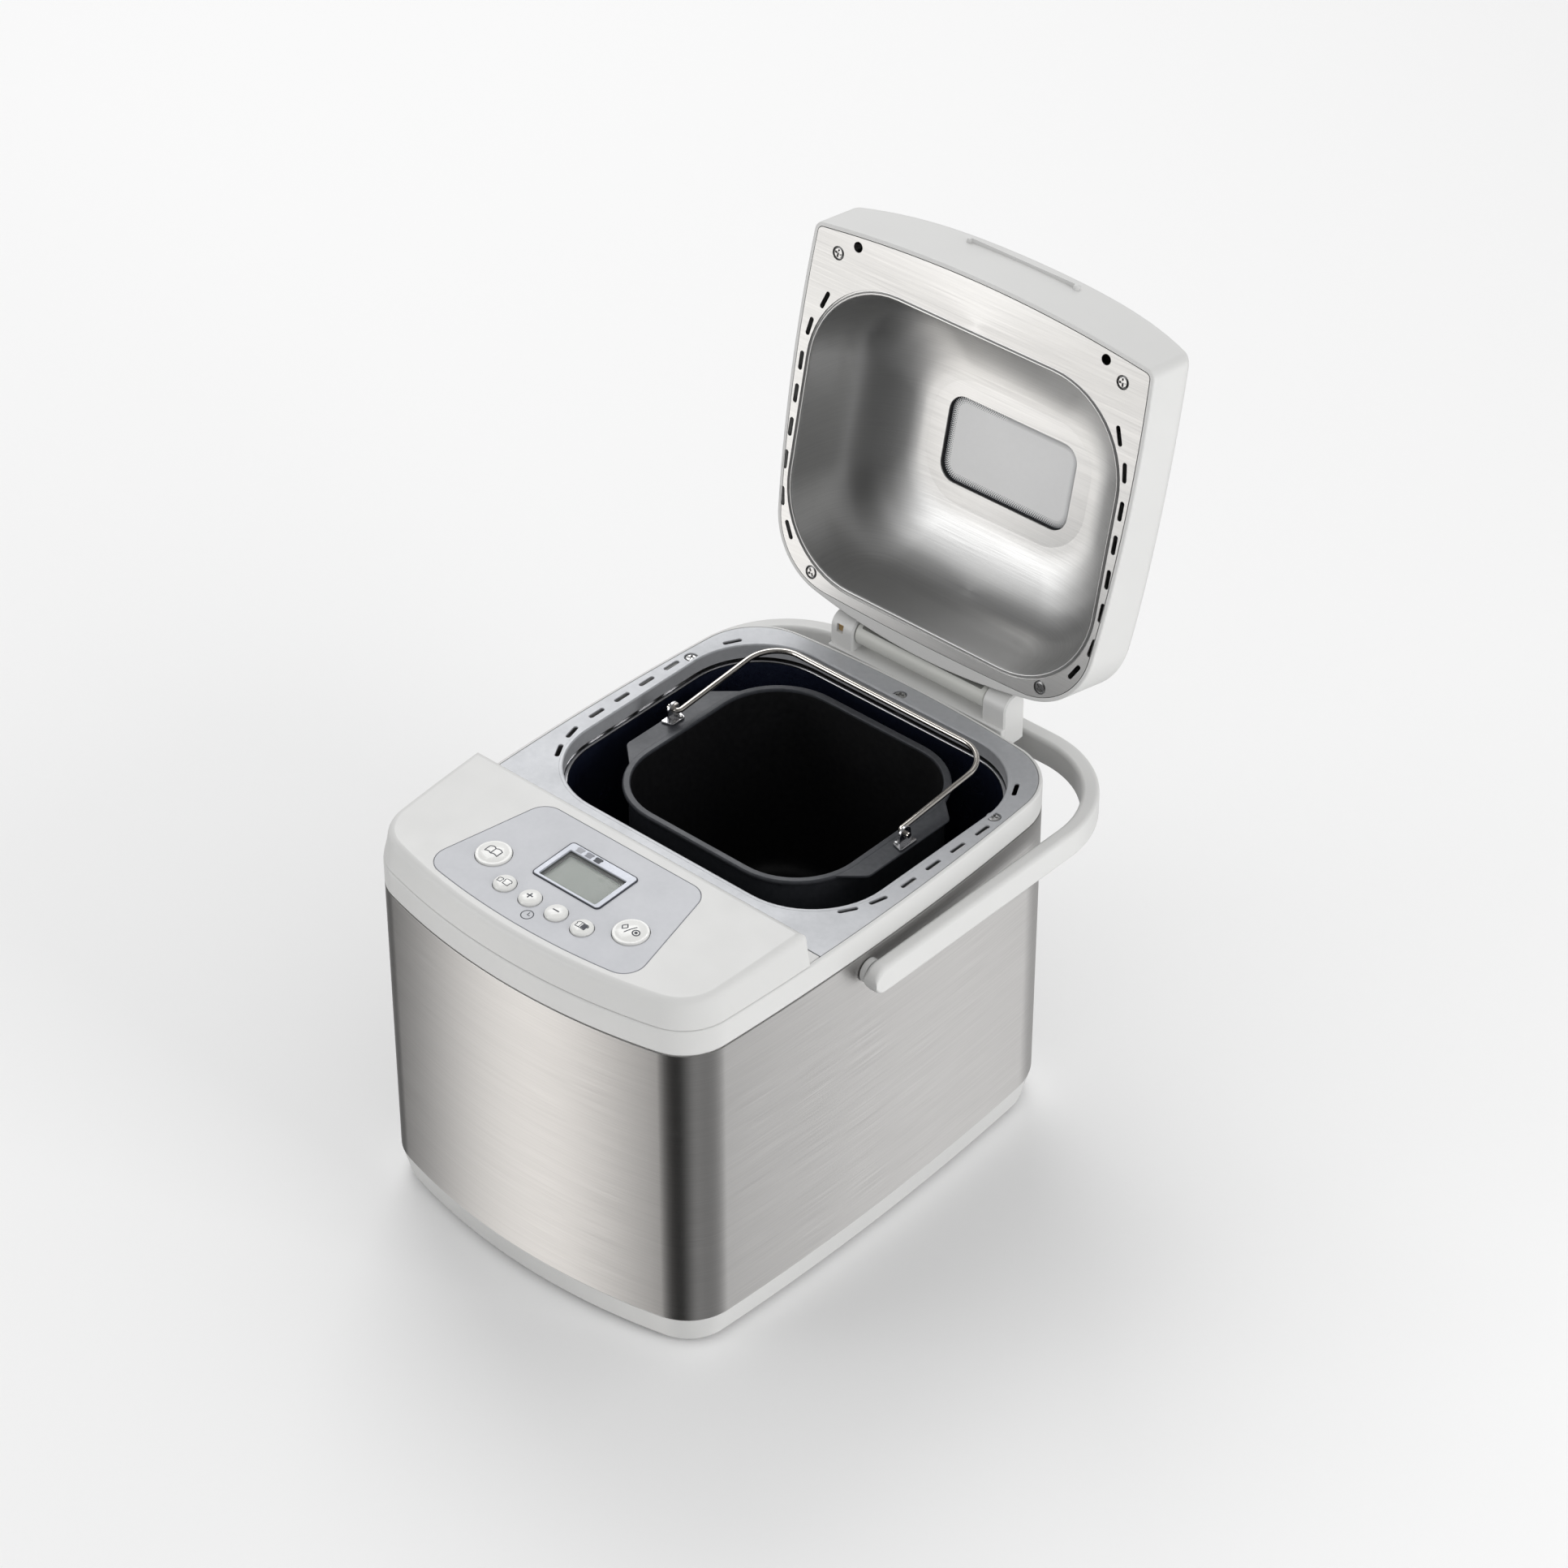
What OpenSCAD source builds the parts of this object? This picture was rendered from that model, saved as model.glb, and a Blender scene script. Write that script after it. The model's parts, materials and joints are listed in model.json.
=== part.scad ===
// Bread machine with its lid open, its pan in the oven and its carry handle folded back.
// Millimetres, Z up. Parts are drawn around the body and moved as one onto the origin,
// which lies on the resting surface under the middle of the open machine.

/* [Body] */
// Half width of the body at its widest
body_half_w = 120.5; // [119:0.5:122]
// Foremost point of the body
body_front_y = -199.5; // [-202:0.5:-198]
// Rearmost point of the body
body_rear_y = 119; // [118:0.5:120]
// Height of the feet below the base tray
foot_h = 3; // [2:0.5:4]
// Height at which the steel wrap starts
wrap_z0 = 20.5; // [19:0.5:22]
// Height at which the steel wrap ends
wrap_z1 = 200.8; // [199:0.2:200.8]
// Thickness of the steel wrap
wrap_t = 0.8; // [0.6:0.1:1]
// Height of the deck around the oven
deck_z = 217; // [216.5:0.5:217]

/* [Oven and pan] */
// Half width of the oven mouth
oven_half_w = 104.5; // [103.5:0.5:105]
// Front edge of the oven mouth
oven_y0 = -76; // [-77:0.5:-75]
// Rear edge of the oven mouth
oven_y1 = 103.5; // [102:0.5:104]
// Height of the oven floor
oven_floor_z = 62; // [61:0.5:63]
// Half width of the mouth of the bread pan
pan_half_w = 72; // [70:0.5:73]
// Half depth of the mouth of the bread pan
pan_half_d = 68.5; // [67:0.5:69]
// Height of the rim of the bread pan
pan_rim_z = 210; // [209:0.5:211]
// Half width over the two pan flanges
flange_half_w = 87; // [85:0.5:89]

/* [Console] */
// Height of the console top along its rear edge
console_rear_z = 237.2; // [236:0.2:238]
// Fall of the console top towards the front, in degrees
console_slope = 2.4; // [2:0.1:2.6]
// Radius of the two large buttons
big_button_r = 9.7; // [9:0.1:10]
// Radius of the four small buttons
small_button_r = 6.2; // [5.5:0.1:6.5]

/* [Lid] */
// Angle through which the lid opens
lid_open = 102.2; // [100:0.1:104]
// Height of the lid wall at its sides
lid_wall_h = 33; // [32:0.5:34]
// Rise of the lid roof above its side walls
lid_crown = 28; // [27:0.5:29]
// Thickness of the lid moulding
lid_t = 2.4; // [2:0.1:2.6]

/* [Carry handle] */
// Width of the handle bar at its sides
handle_t = 9; // [8:0.5:9]
// Height of the handle bar
handle_h = 17; // [16:0.5:18]
// Height of the handle pivots
handle_z = 190; // [188:0.5:191]

/* [Hidden] */
$fn = 64;

// Shift from the body's own axes to the origin of the part
centre_y = -8.31;
// Posts that join tray and chassis, feet, and the cord inlet in the rear wall as [x, z]
post_x = [-80, 80];
post_y = [-165, 85];
foot_x = [-95, 95];
foot_y = [-150, 70];
foot_r = 9;
inlet_at = [-62, 40];
inlet_r = 3.6;
// Body outline: widest place, side radius, then each corner's centre line and radius
body_widest_y = -45;
body_side_r = 1600;
body_front_corner = [-158.5, 30];
body_rear_corner = [75, 40];
body_form = [body_half_w, body_widest_y, body_side_r, body_front_y, body_front_corner,
    body_rear_y, body_rear_corner];
// Lid outline when closed, in the same terms
lid_front_y = -98.4;
lid_form = [117.5, -29, 1000, lid_front_y, [-85, 6], 124, [74, 43]];
// Outline that the lid's inner panel follows, with a broader lip behind it
panel_form = [117.5, -29, 1000, lid_front_y, [-85, 6], 118.3, [74, 43]];
panel_z = 217.5;
panel_t = 0.8;
hinge_y = 129.9;
hinge_z = 226;
knuckle_r = 8.5;
knuckle_x = [46.5, 62.5];
hinge_pin_r = 2.5;
barrel_r = 7.2;
arm_h = 13.5;
grip_half_w = 38;
grip_y = -93.6;
grip_z = [248, 252.5];
run_gap = 0.05;
// Lid roof as shrinking copies of its outline, and the recess below it as [inset, depth]
lid_rings = [1, 0.985, 0.95, 0.9, 0.84, 0.77, 0.69, 0.6, 0.5, 0.4, 0.28, 0.14];
recess_depth = 50.5;
recess_profile = [[0, 0], [2.2, 10], [5, 21], [10, 31], [18, 38.5], [28, 44], [38, 47.8], [50, recess_depth]];
recess_half_w = 105.5;
recess_y = [-66.5, 106.5];
window_half = [46.2, 27];
window_r = 12;
window_y = 19.7;
window_z = panel_z + recess_depth + panel_t;
gasket_z = [window_z + 0.85, window_z + 4.7];
pane_z = [window_z + 3, window_z + 4.6];
outer_window = [31.8, 2.2, 41.8];
// Oven and pan
oven_corner_r = 47;
oven_mid_y = 15.5;
liner_t = 0.8;
liner_gap = 1.2;
// Tubular element: tube radius, height, bend radius, half width and its front and rear runs
element_r = 3.4;
element_z = 88;
element_bend = 38;
element_x = 93;
element_y = [oven_y0 + 11, oven_y1 - 11];
element_tail_x = 14;
sensor_at = [-30, 120];
ledge_z = 207;
pan_corner_r = 38;
pan_wall_t = 1.2;
pan_floor_z = 84;
pan_edge_w = 4.5;
pan_flange_y = [-33, 32];
ear_x = 83;
rivet_x = 80.4;
rivet_y = [-5.2, 5.2];
rivet_r = 1.2;
wire_r = 1.6;
wire_arm = 76;
wire_half_w = 79;
wire_corner_r = 20;
wire_pivot_z = 217;
wire_back = 85;
// Drive train
shaft_r = 4;
big_pulley_r = 52;
small_pulley_r = 8;
pulley_z = [29, 38];
motor_at = [42, -142];
chassis_z = 50;
chassis_t = 2;
belt_t = 1.8;
belt_gap = 0.35;
// Console
console_rear_y = -99.7;
console_wall_t = 2.4;
console_draft = 4;
button_gap = 0.35;
button_rise = 1.2;
overlay_t = 0.5;
big_button_at = [48.5, -56.8];
small_button_at = [[-27.3, -70.3], [-9.2, -70.3], [9.2, -70.3], [27.3, -70.3]];
display_at = [0, -39.3];
glass_at = [0, -41.1];
board_w = -13.2;
panel_screw_head = [3.6, 1.3];
// Carry handle
handle_half_w = 134;
handle_rear_y = 157.5;
handle_rear_t = 10.5;
handle_pivot_y = -57;
handle_corner_r = 64;
stud_r = 3;
// Vent slots: length, width and places on the right-hand half as [x, y, angle]
slot_size = [11, 2.6];
deck_slots = [[101.6, 83.8, 118], [111.3, 44.8, 91], [111.3, 24.8, 90], [111.2, 5.1, 90],
    [111.4, -14.7, 90], [109.3, -36.2, 75], [103, -52.8, 60]];
lid_slots = [[101.3, -49.1, 70], [108.9, -31, 80], [111.1, -9.9, 90], [111.1, 9.6, 90],
    [111.1, 29.7, 90], [111.1, 49.3, 92], [109.3, 70.8, 101], [101.3, 88.5, 120]];
deck_screw_at = [[-108.5, 57.7], [108.5, 57.7], [0, 107.8]];
latch_hole_at = [84.7, -85.8];
lid_screw_at = [[-97.3, -77.8], [97.3, -77.8], [-81.5, 106.4], [81.5, 106.4]];

// ---- Helper functions ----
function arc(c, r, a0, a1, n) = [for (i = [1:n]) let (a = a0 + (a1 - a0) * i / n)
    c + r * [cos(a), sin(a)]];
function bend(c, r, a0, a1, n) = concat([c + r * [cos(a0), sin(a0)]], arc(c, r, a0, a1, n));
function flip_x(pts) = [for (i = [len(pts) - 1:-1:0]) [-pts[i][0], pts[i][1]]];
function corner_x(form, corner) = form[0] - form[2]
    + sqrt(pow(form[2] - corner[1], 2) - pow(corner[0] - form[1], 2));
function end_r(x, reach, r) = (x * x + reach * reach - r * r) / (2 * (reach - r));

// Right half of a bowed outline from the front middle to the rear middle
function half_outline(form, inset) =
    let (side_c = [form[0] - form[2], form[1]],
        front_c = [corner_x(form, form[4]), form[4][0]],
        rear_c = [corner_x(form, form[6]), form[6][0]],
        front_r = end_r(front_c[0], front_c[1] - form[3], form[4][1]),
        rear_r = end_r(rear_c[0], form[5] - rear_c[1], form[6][1]),
        front_o = [0, form[3] + front_r],
        rear_o = [0, form[5] - rear_r],
        a1 = atan2(front_c[1] - front_o[1], front_c[0]),
        a2 = atan2(front_c[1] - side_c[1], front_c[0] - side_c[0]),
        a3 = atan2(rear_c[1] - side_c[1], rear_c[0] - side_c[0]),
        a4 = atan2(rear_c[1] - rear_o[1], rear_c[0]))
    concat([[0, form[3] + inset]],
        arc(front_o, front_r - inset, -90, a1, 7),
        arc(front_c, form[4][1] - inset, a1, a2, 8),
        arc(side_c, form[2] - inset, a2, a3, 8),
        arc(rear_c, form[6][1] - inset, a3, a4, 9),
        arc(rear_o, rear_r - inset, a4, 90, 6));

function outline(form, inset) =
    let (half = half_outline(form, inset), last = len(half) - 2)
    concat(half, [for (i = [last:-1:1]) [-half[i][0], half[i][1]]]);

// Front part of the body outline, cut straight across at y
function front_outline(inset, y) =
    let (corner = half_outline(body_form, inset),
        side_c = [body_half_w - body_side_r, body_widest_y],
        a1 = atan2(body_front_corner[0] - side_c[1], corner_x(body_form, body_front_corner) - side_c[0]),
        a2 = asin((y - body_widest_y) / (body_side_r - inset)),
        half = concat([for (i = [0:15]) corner[i]], arc(side_c, body_side_r - inset, a1, a2, 3)))
    concat(half, [for (i = [len(half) - 1:-1:1]) [-half[i][0], half[i][1]]]);

function rounded(x0, x1, y0, y1, r, n = 10) = concat(
    bend([x1 - r, y0 + r], r, -90, 0, n), bend([x1 - r, y1 - r], r, 0, 90, n),
    bend([x0 + r, y1 - r], r, 90, 180, n), bend([x0 + r, y0 + r], r, 180, 270, n));
function oven_ring(inset) = rounded(-oven_half_w + inset, oven_half_w - inset,
    oven_y0 + inset, oven_y1 - inset, oven_corner_r - inset);
function pan_ring(out) = rounded(-pan_half_w - out, pan_half_w + out,
    oven_mid_y - pan_half_d - out, oven_mid_y + pan_half_d + out, pan_corner_r + out);
function at_z(pts, z) = [for (p = pts) [p[0], p[1], z]];
function mid(pts) = [for (k = [0:2]) [for (p = pts) p[k]] * [for (p = pts) 1] / len(pts)];

// Height of the lid roof above the panel
function crown(y) = lid_crown * (1 - pow(abs(y - 10) / 141.6, 2.2));
function lid_depth(x, y) = lid_wall_h + crown(y) * (1 - pow(min(1, abs(x) / 117.5), 3.2));
function lean(y) = -3.5 * max(0, min(1, (-50 - y) / 40));

// ---- Helper shapes ----
module place() translate([0, centre_y, 0]) children();
module both() {
    children();
    mirror([1, 0, 0]) children();
}

// Frame on the axis of the paddle and spindle
module at_spindle(z) translate([0, oven_mid_y, z]) children();

// Solid through a list of closed rings with equal numbers of points, from bottom to top
module loft(rings) {
    n = len(rings[0]);
    top = (len(rings) - 1) * n;
    last = len(rings) * n;
    polyhedron(
        points = concat([for (ring = rings) for (p = ring) p], [mid(rings[0]), mid(rings[len(rings) - 1])]),
        faces = concat(
            [for (k = [0:n:top - n]) for (i = [0:n - 1]) [k + i, k + n + i, k + n + (i + 1) % n]],
            [for (k = [0:n:top - n]) for (i = [0:n - 1]) [k + i, k + n + (i + 1) % n, k + (i + 1) % n]],
            [for (i = [0:n - 1]) [last, i, (i + 1) % n]],
            [for (i = [0:n - 1]) [last + 1, top + (i + 1) % n, top + i]]),
        convexity = 6);
}

module prism(pts, z0, z1) translate([0, 0, z0])
    linear_extrude(height = z1 - z0, convexity = 8) polygon(pts);
module block(x, y, z) translate([x[0], y[0], z[0]]) cube([x[1] - x[0], y[1] - y[0], z[1] - z[0]]);
module disc(at, z, r) translate([at[0], at[1], z[0]]) cylinder(r = r, h = z[1] - z[0]);
module rod_x(x, y, z, r) translate([x[0], y, z]) rotate([0, 90, 0]) cylinder(r = r, h = x[1] - x[0]);
module rod_y(x, y, z, r) translate([x, y[0], z]) rotate([-90, 0, 0]) cylinder(r = r, h = y[1] - y[0]);

module slot(at, z0, z1) translate([at[0], at[1], z0]) rotate([0, 0, at[2]])
    linear_extrude(height = z1 - z0) {
        square([slot_size[0] - slot_size[1], slot_size[1]], center = true);
        for (s = [-1, 1]) translate([s * (slot_size[0] - slot_size[1]) / 2, 0])
            circle(d = slot_size[1], $fn = 24);
    }
module slots(places, z0, z1) both() for (p = places) slot(p, z0, z1);

// Pan-head screw with a cross recess, head up, its seat at z = 0
module screw(head_r, head_h, shank_r, shank_l) difference() {
    union() {
        cylinder(r = head_r, h = head_h);
        translate([0, 0, -shank_l]) cylinder(r = shank_r, h = shank_l + 0.1);
    }
    for (a = [0, 90]) rotate([0, 0, a])
        translate([-head_r * 0.55, -head_r * 0.13, head_h * 0.35])
            cube([head_r * 1.1, head_r * 0.26, head_h]);
}

// Frame of the sloping console top: y runs forward from its rear edge, z is the height above it
module on_console() translate([0, console_rear_y, console_rear_z]) rotate([console_slope, 0, 0]) children();
function console_z(y, drop) = console_rear_z + (y - console_rear_y) * tan(console_slope) - drop;

// Frame of the lid at rest, drawn as if it were closed
module lid_pose() translate([0, hinge_y, hinge_z]) rotate([-lid_open, 0, 0])
    translate([0, -hinge_y, -hinge_z]) children();

// ---- Base ----
module base_tray() color("whitesmoke") place() difference() {
    union() {
        difference() {
            loft([at_z(outline(body_form, 4.5), foot_h), at_z(outline(body_form, 0.3), wrap_z0 - 0.3)]);
            prism(outline(body_form, 8), foot_h + 3, wrap_z0 + 1);
        }
        difference() {
            prism(outline(body_form, 1.2), wrap_z0 - 2, wrap_z0 + 8);
            prism(outline(body_form, 3.2), wrap_z0 - 3, wrap_z0 + 9);
        }
        for (x = post_x, y = post_y) disc([x, y], [foot_h + 2, chassis_z], 7);
    }
    for (x = post_x, y = post_y) disc([x, y], [foot_h - 1, foot_h + 26], 2.1);
    for (x = foot_x, y = foot_y) disc([x, y], [foot_h - 1, foot_h + 1], foot_r + 0.2);
    for (i = [-4:4]) slot([i * 14, 40, 90], foot_h - 1, foot_h + 4);
}

module rubber_feet() color("dimgray") place()
    for (x = foot_x, y = foot_y) disc([x, y], [0, foot_h + 0.9], foot_r);

module base_screws() color("silver") place()
    for (x = post_x, y = post_y) translate([x, y, foot_h - 0.1]) mirror([0, 0, 1]) screw(3.6, 1.8, 2, 20);

module outer_shell() color("lightgray") place() difference() {
    prism(outline(body_form, 0), wrap_z0, wrap_z1);
    prism(outline(body_form, wrap_t), wrap_z0 - 1, wrap_z1 + 1);
    rod_x([-140, 140], handle_pivot_y, handle_z, stud_r + 0.3);
    rod_y(inlet_at[0], [90, 130], inlet_at[1], 6.3);
}

module top_rim() color("white") place() difference() {
    union() {
        prism(outline(body_form, 0), wrap_z1 + 0.9, deck_z);
        prism(outline(body_form, wrap_t + 0.3), wrap_z1 - 5, wrap_z1 + 1);
    }
    prism(outline(body_form, 3), wrap_z1 - 6, wrap_z1 + 1.4);
    difference() {
        prism(outline(body_form, 2), wrap_z1, deck_z + 1);
        block([-130, 130], [-99.6, -90.7], [wrap_z1 - 1, deck_z + 2]);
        difference() {
            prism(outline(body_form, 1.9), wrap_z1, deck_z - 1.7);
            prism(outline(body_form, 9), wrap_z1 - 1, deck_z);
        }
        for (p = deck_screw_at) disc(p, [ledge_z + 1.5, deck_z - 1.7], 3);
    }
    prism(oven_ring(-5.5), wrap_z1 - 6, ledge_z + 1);
    for (p = deck_screw_at) disc(p, [wrap_z1, deck_z + 1], 1.7);
}

module deck_plate() color("silver") place() difference() {
    union() {
        intersection() {
            prism(outline(body_form, 2.2), deck_z - 1.5, deck_z);
            block([-130, 130], [-90.4, 130], [deck_z - 2, deck_z + 1]);
        }
        prism(oven_ring(-1), ledge_z + 1.2, deck_z - 1);
    }
    prism(oven_ring(0), ledge_z, deck_z + 1);
    slots(deck_slots, deck_z - 3, deck_z + 1);
    for (p = deck_screw_at) disc(p, [deck_z - 3, deck_z + 1], panel_screw_head[0] + 0.3);
}

module deck_screws() color("gray") place()
    for (p = deck_screw_at) translate([p[0], p[1], deck_z - 1.7])
        screw(panel_screw_head[0], panel_screw_head[1], 1.65, 8);

module oven_liner() color("darkslategray") place() difference() {
    union() {
        prism(oven_ring(liner_gap), oven_floor_z, ledge_z);
        prism(oven_ring(-4), ledge_z - liner_t, ledge_z);
    }
    prism(oven_ring(liner_gap + liner_t), oven_floor_z + liner_t, ledge_z + 1);
    disc([0, oven_mid_y], [oven_floor_z - 1, oven_floor_z + 2], 11.1);
    rod_y(sensor_at[0], [oven_y0 - 5, oven_y0 + 8], sensor_at[1], 3.1);
    for (x = [-1, 1]) rod_y(x * element_tail_x, [oven_y0 - 5, oven_y0 + 8], element_z, 4.6);
}

// Rounded loop of tube open at the front, where its two ends pass through the liner
module element_corner(x, y, a) translate([x, y, element_z]) rotate([0, 0, a])
    rotate_extrude(angle = 90) translate([element_bend, 0]) circle(r = element_r, $fn = 32);
module heating_element() color("dimgray") place() {
    both() {
        rod_y(element_x, [element_y[0] + element_bend, element_y[1] - element_bend], element_z, element_r);
        element_corner(element_x - element_bend, element_y[1] - element_bend, 0);
        element_corner(element_x - element_bend, element_y[0] + element_bend, -90);
        rod_x([element_tail_x, element_x - element_bend], element_y[0], element_z, element_r);
        rod_y(element_tail_x, [oven_y0 - 14, element_y[0]], element_z, element_r);
        translate([element_tail_x, element_y[0], element_z]) sphere(r = element_r);
    }
    rod_x([-element_x + element_bend, element_x - element_bend], element_y[1], element_z, element_r);
}

module element_brackets() color("silver") place() both() for (y = [-20, 50])
    block([element_x - 5, oven_half_w - liner_gap - liner_t], [y - 4, y + 4],
        [element_z - element_r - 1.5, element_z - element_r]);

module element_bushings() color("ivory") place() both() difference() {
    union() {
        rod_y(element_tail_x, [oven_y0 - 3, oven_y0 + 4], element_z, 4.5);
        rod_y(element_tail_x, [oven_y0 - 3, oven_y0 + 1], element_z, 6);
    }
    rod_y(element_tail_x, [oven_y0 - 5, oven_y0 + 8], element_z, element_r);
}

module temperature_sensor() color("gainsboro") place() {
    rod_y(sensor_at[0], [oven_y0 - 8, oven_y0 + 9], sensor_at[1], 3);
    rod_y(sensor_at[0], [oven_y0 - 8, oven_y0 - 0.2], sensor_at[1], 5.5);
}

module thermal_fuse() color("ivory") place() {
    rod_x([24, 46], oven_y0 - 3.2, 130, 3.4);
    for (x = [20, 46]) rod_x([x, x + 4], oven_y0 - 3.2, 130, 1);
}

module pan_socket() color("silver") place() difference() {
    union() {
        disc([0, oven_mid_y], [oven_floor_z + liner_t, oven_floor_z + 2.4], 52);
        disc([0, oven_mid_y], [oven_floor_z + liner_t, oven_floor_z + 10], 46);
    }
    disc([0, oven_mid_y], [oven_floor_z, oven_floor_z + 12], 43.5);
    for (a = [0, 90]) translate([0, oven_mid_y, oven_floor_z + 4]) rotate([0, 0, a])
        translate([-60, -7, 0]) cube([120, 14, 12]);
}

module spindle_bearing() color("goldenrod") place() difference() {
    union() {
        disc([0, oven_mid_y], [chassis_z - 6, oven_floor_z + 3], 11);
        disc([0, oven_mid_y], [chassis_z + chassis_t, oven_floor_z - 0.2], 16);
    }
    disc([0, oven_mid_y], [chassis_z - 10, oven_floor_z + 10], shaft_r + run_gap);
}

module drive_chassis() color("darkgray") place() difference() {
    union() {
        block([-88, 88], [-178, 98], [chassis_z, chassis_z + chassis_t]);
        block([-88, -86], [-178, 98], [chassis_z, chassis_z + 9]);
        block([86, 88], [-178, 98], [chassis_z, chassis_z + 9]);
    }
    disc([0, oven_mid_y], [chassis_z - 1, chassis_z + 4], 11.1);
    disc(motor_at, [chassis_z - 1, chassis_z + 4], 12);
    for (x = post_x, y = post_y) disc([x, y], [chassis_z - 1, chassis_z + 4], 2.2);
    for (x = [-50, -20], y = [-60, 0, 60]) disc([x, y], [chassis_z - 1, chassis_z + 4], 6);
}

module drive_motor() color("slategray") place() difference() {
    union() {
        disc(motor_at, [chassis_z + chassis_t, chassis_z + 8], 26);
        disc(motor_at, [chassis_z + 8, chassis_z + 62], 31);
        disc(motor_at, [chassis_z + 62, chassis_z + 70], 20);
        disc(motor_at, [chassis_z - 4, chassis_z + chassis_t], 9);
    }
    disc(motor_at, [chassis_z - 10, chassis_z + 20], shaft_r + run_gap);
    for (a = [0:45:315]) translate([motor_at[0], motor_at[1], chassis_z + 20]) rotate([0, 0, a])
        translate([28, -2.5, 0]) cube([6, 5, 30]);
}

module motor_capacitor() color("whitesmoke") place()
    block([-14, 4], [-176, -146], [chassis_z + chassis_t, chassis_z + 30]);

// Flat belt: loop around both pulleys, drawn out by extra all round
function belt_line(extra) =
    let (run = [motor_at[0], motor_at[1] - oven_mid_y], dist = norm(run),
        dir = atan2(run[1], run[0]), a = acos((big_pulley_r - small_pulley_r) / dist))
    concat(bend([0, oven_mid_y], big_pulley_r + extra, dir + a, dir + 360 - a, 36),
        bend(motor_at, small_pulley_r + extra, dir - a, dir + a, 12));
module drive_belt() color("black") place() difference() {
    prism(belt_line(belt_gap + belt_t), pulley_z[0] + 1.5, pulley_z[1] - 1.5);
    prism(belt_line(belt_gap), pulley_z[0], pulley_z[1]);
}

module power_board() color("darkgreen") place() {
    block([-98, -22], [-150, -148.4], [62, 150]);
    color("royalblue") block([-92, -70], [-166, -150], [70, 92]);
    color("black") block([-62, -40], [-172, -150], [68, 84]);
    color("ivory") block([-90, -66], [-162, -150], [112, 136]);
    color("dimgray") for (z = [102, 124]) rod_y(-40, [-172, -150], z, 6);
    color("gray") for (x = [-84, -30]) block([x, x + 6], [-148.4, -144], [chassis_z + chassis_t, 72]);
}

// ---- Console ----
function console_ring(inset, in, drop) =
    [for (p = front_outline(inset + console_draft * in, console_rear_y - inset))
        [p[0], p[1], console_z(p[1], drop)]];
module console_body(inset, drop, z0) loft([
    at_z(front_outline(inset, console_rear_y - inset), z0),
    console_ring(inset, 0.5, drop + 8),
    console_ring(inset, 0.7, drop + 1.5),
    console_ring(inset, 1, drop)]);

module button_holes(gap) {
    for (x = [-1, 1]) disc([x * big_button_at[0], big_button_at[1]], [-20, 5], big_button_r + gap);
    for (p = small_button_at) disc(p, [-20, 5], small_button_r + gap);
}

// Trapezoid with round corners and a bowed front edge
function overlay_ring(inset) =
    let (rear = [47.5, -20.8], front = [59.5, -72.8], r = 12 - inset, lean_a = 13, bow = 8,
        half = concat(bend(front, r, -90 + bow, lean_a, 8), bend(rear, r, lean_a, 90, 8)))
    concat([[0, -89.2 + inset]], half, flip_x(half));

module console_cover() color("white") place() difference() {
    console_body(0.3, 0, deck_z + 0.35);
    console_body(0.3 + console_wall_t, console_wall_t, deck_z - 1);
    on_console() {
        prism(overlay_ring(-0.15), -overlay_t, 4);
        button_holes(button_gap);
        block([-22, 22], [display_at[1] - 14.3, display_at[1] + 14.3], [-10, 10]);
    }
}

module control_overlay() color("lightsteelblue") place() on_console() difference() {
    prism(overlay_ring(0), -overlay_t, 0.1);
    button_holes(button_gap);
    prism(rounded(-23.6, 23.6, display_at[1] - 15.9, display_at[1] + 15.9, 2.6, 4), -5, 5);
}

module display_frame() color("silver") place() on_console() difference() {
    prism(rounded(-23.5, 23.5, display_at[1] - 15.8, display_at[1] + 15.8, 2.5, 4), -overlay_t, 0.7);
    prism(rounded(-19.8, 19.8, glass_at[1] - 11.8, glass_at[1] + 11.8, 1, 3), -5, 5);
}

module display_window() color("gainsboro", 0.6) place() on_console()
    block([-21, 21], [glass_at[1] - 12.4, glass_at[1] + 12.4], [-2, -0.6]);

module display_module() color("darkseagreen") place() on_console() {
    block([-21.5, 21.5], [glass_at[1] - 12.4, glass_at[1] + 12.4], [-5.5, -2.1]);
    for (x = [-18, 16]) block([x, x + 2], [glass_at[1] - 10, glass_at[1] + 10], [board_w + 1.6, -5.5]);
}

module control_board() color("darkgreen") place() on_console() difference() {
    block([-68, 68], [-84, -22], [board_w, board_w + 1.6]);
    for (x = [-62, 62], y = [-79, -27]) disc([x, y], [board_w - 1, board_w + 3], 1.6);
}

module tact_switch() {
    translate([-3, -3, 0]) cube([6, 6, 3.4]);
    cylinder(r = 1.7, h = 3.9);
}
module tact_switches() color("dimgray") place() on_console() translate([0, 0, board_w + 1.6]) {
    for (x = [-1, 1]) translate([x * big_button_at[0], big_button_at[1], 0]) tact_switch();
    for (p = small_button_at) translate([p[0], p[1], 0]) tact_switch();
}

module control_cable() color("gray") place() {
    block([-64, -44], [-147, -146], [140, 222]);
    block([-64, -44], [-148.4, -146], [136, 140]);
}

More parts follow.
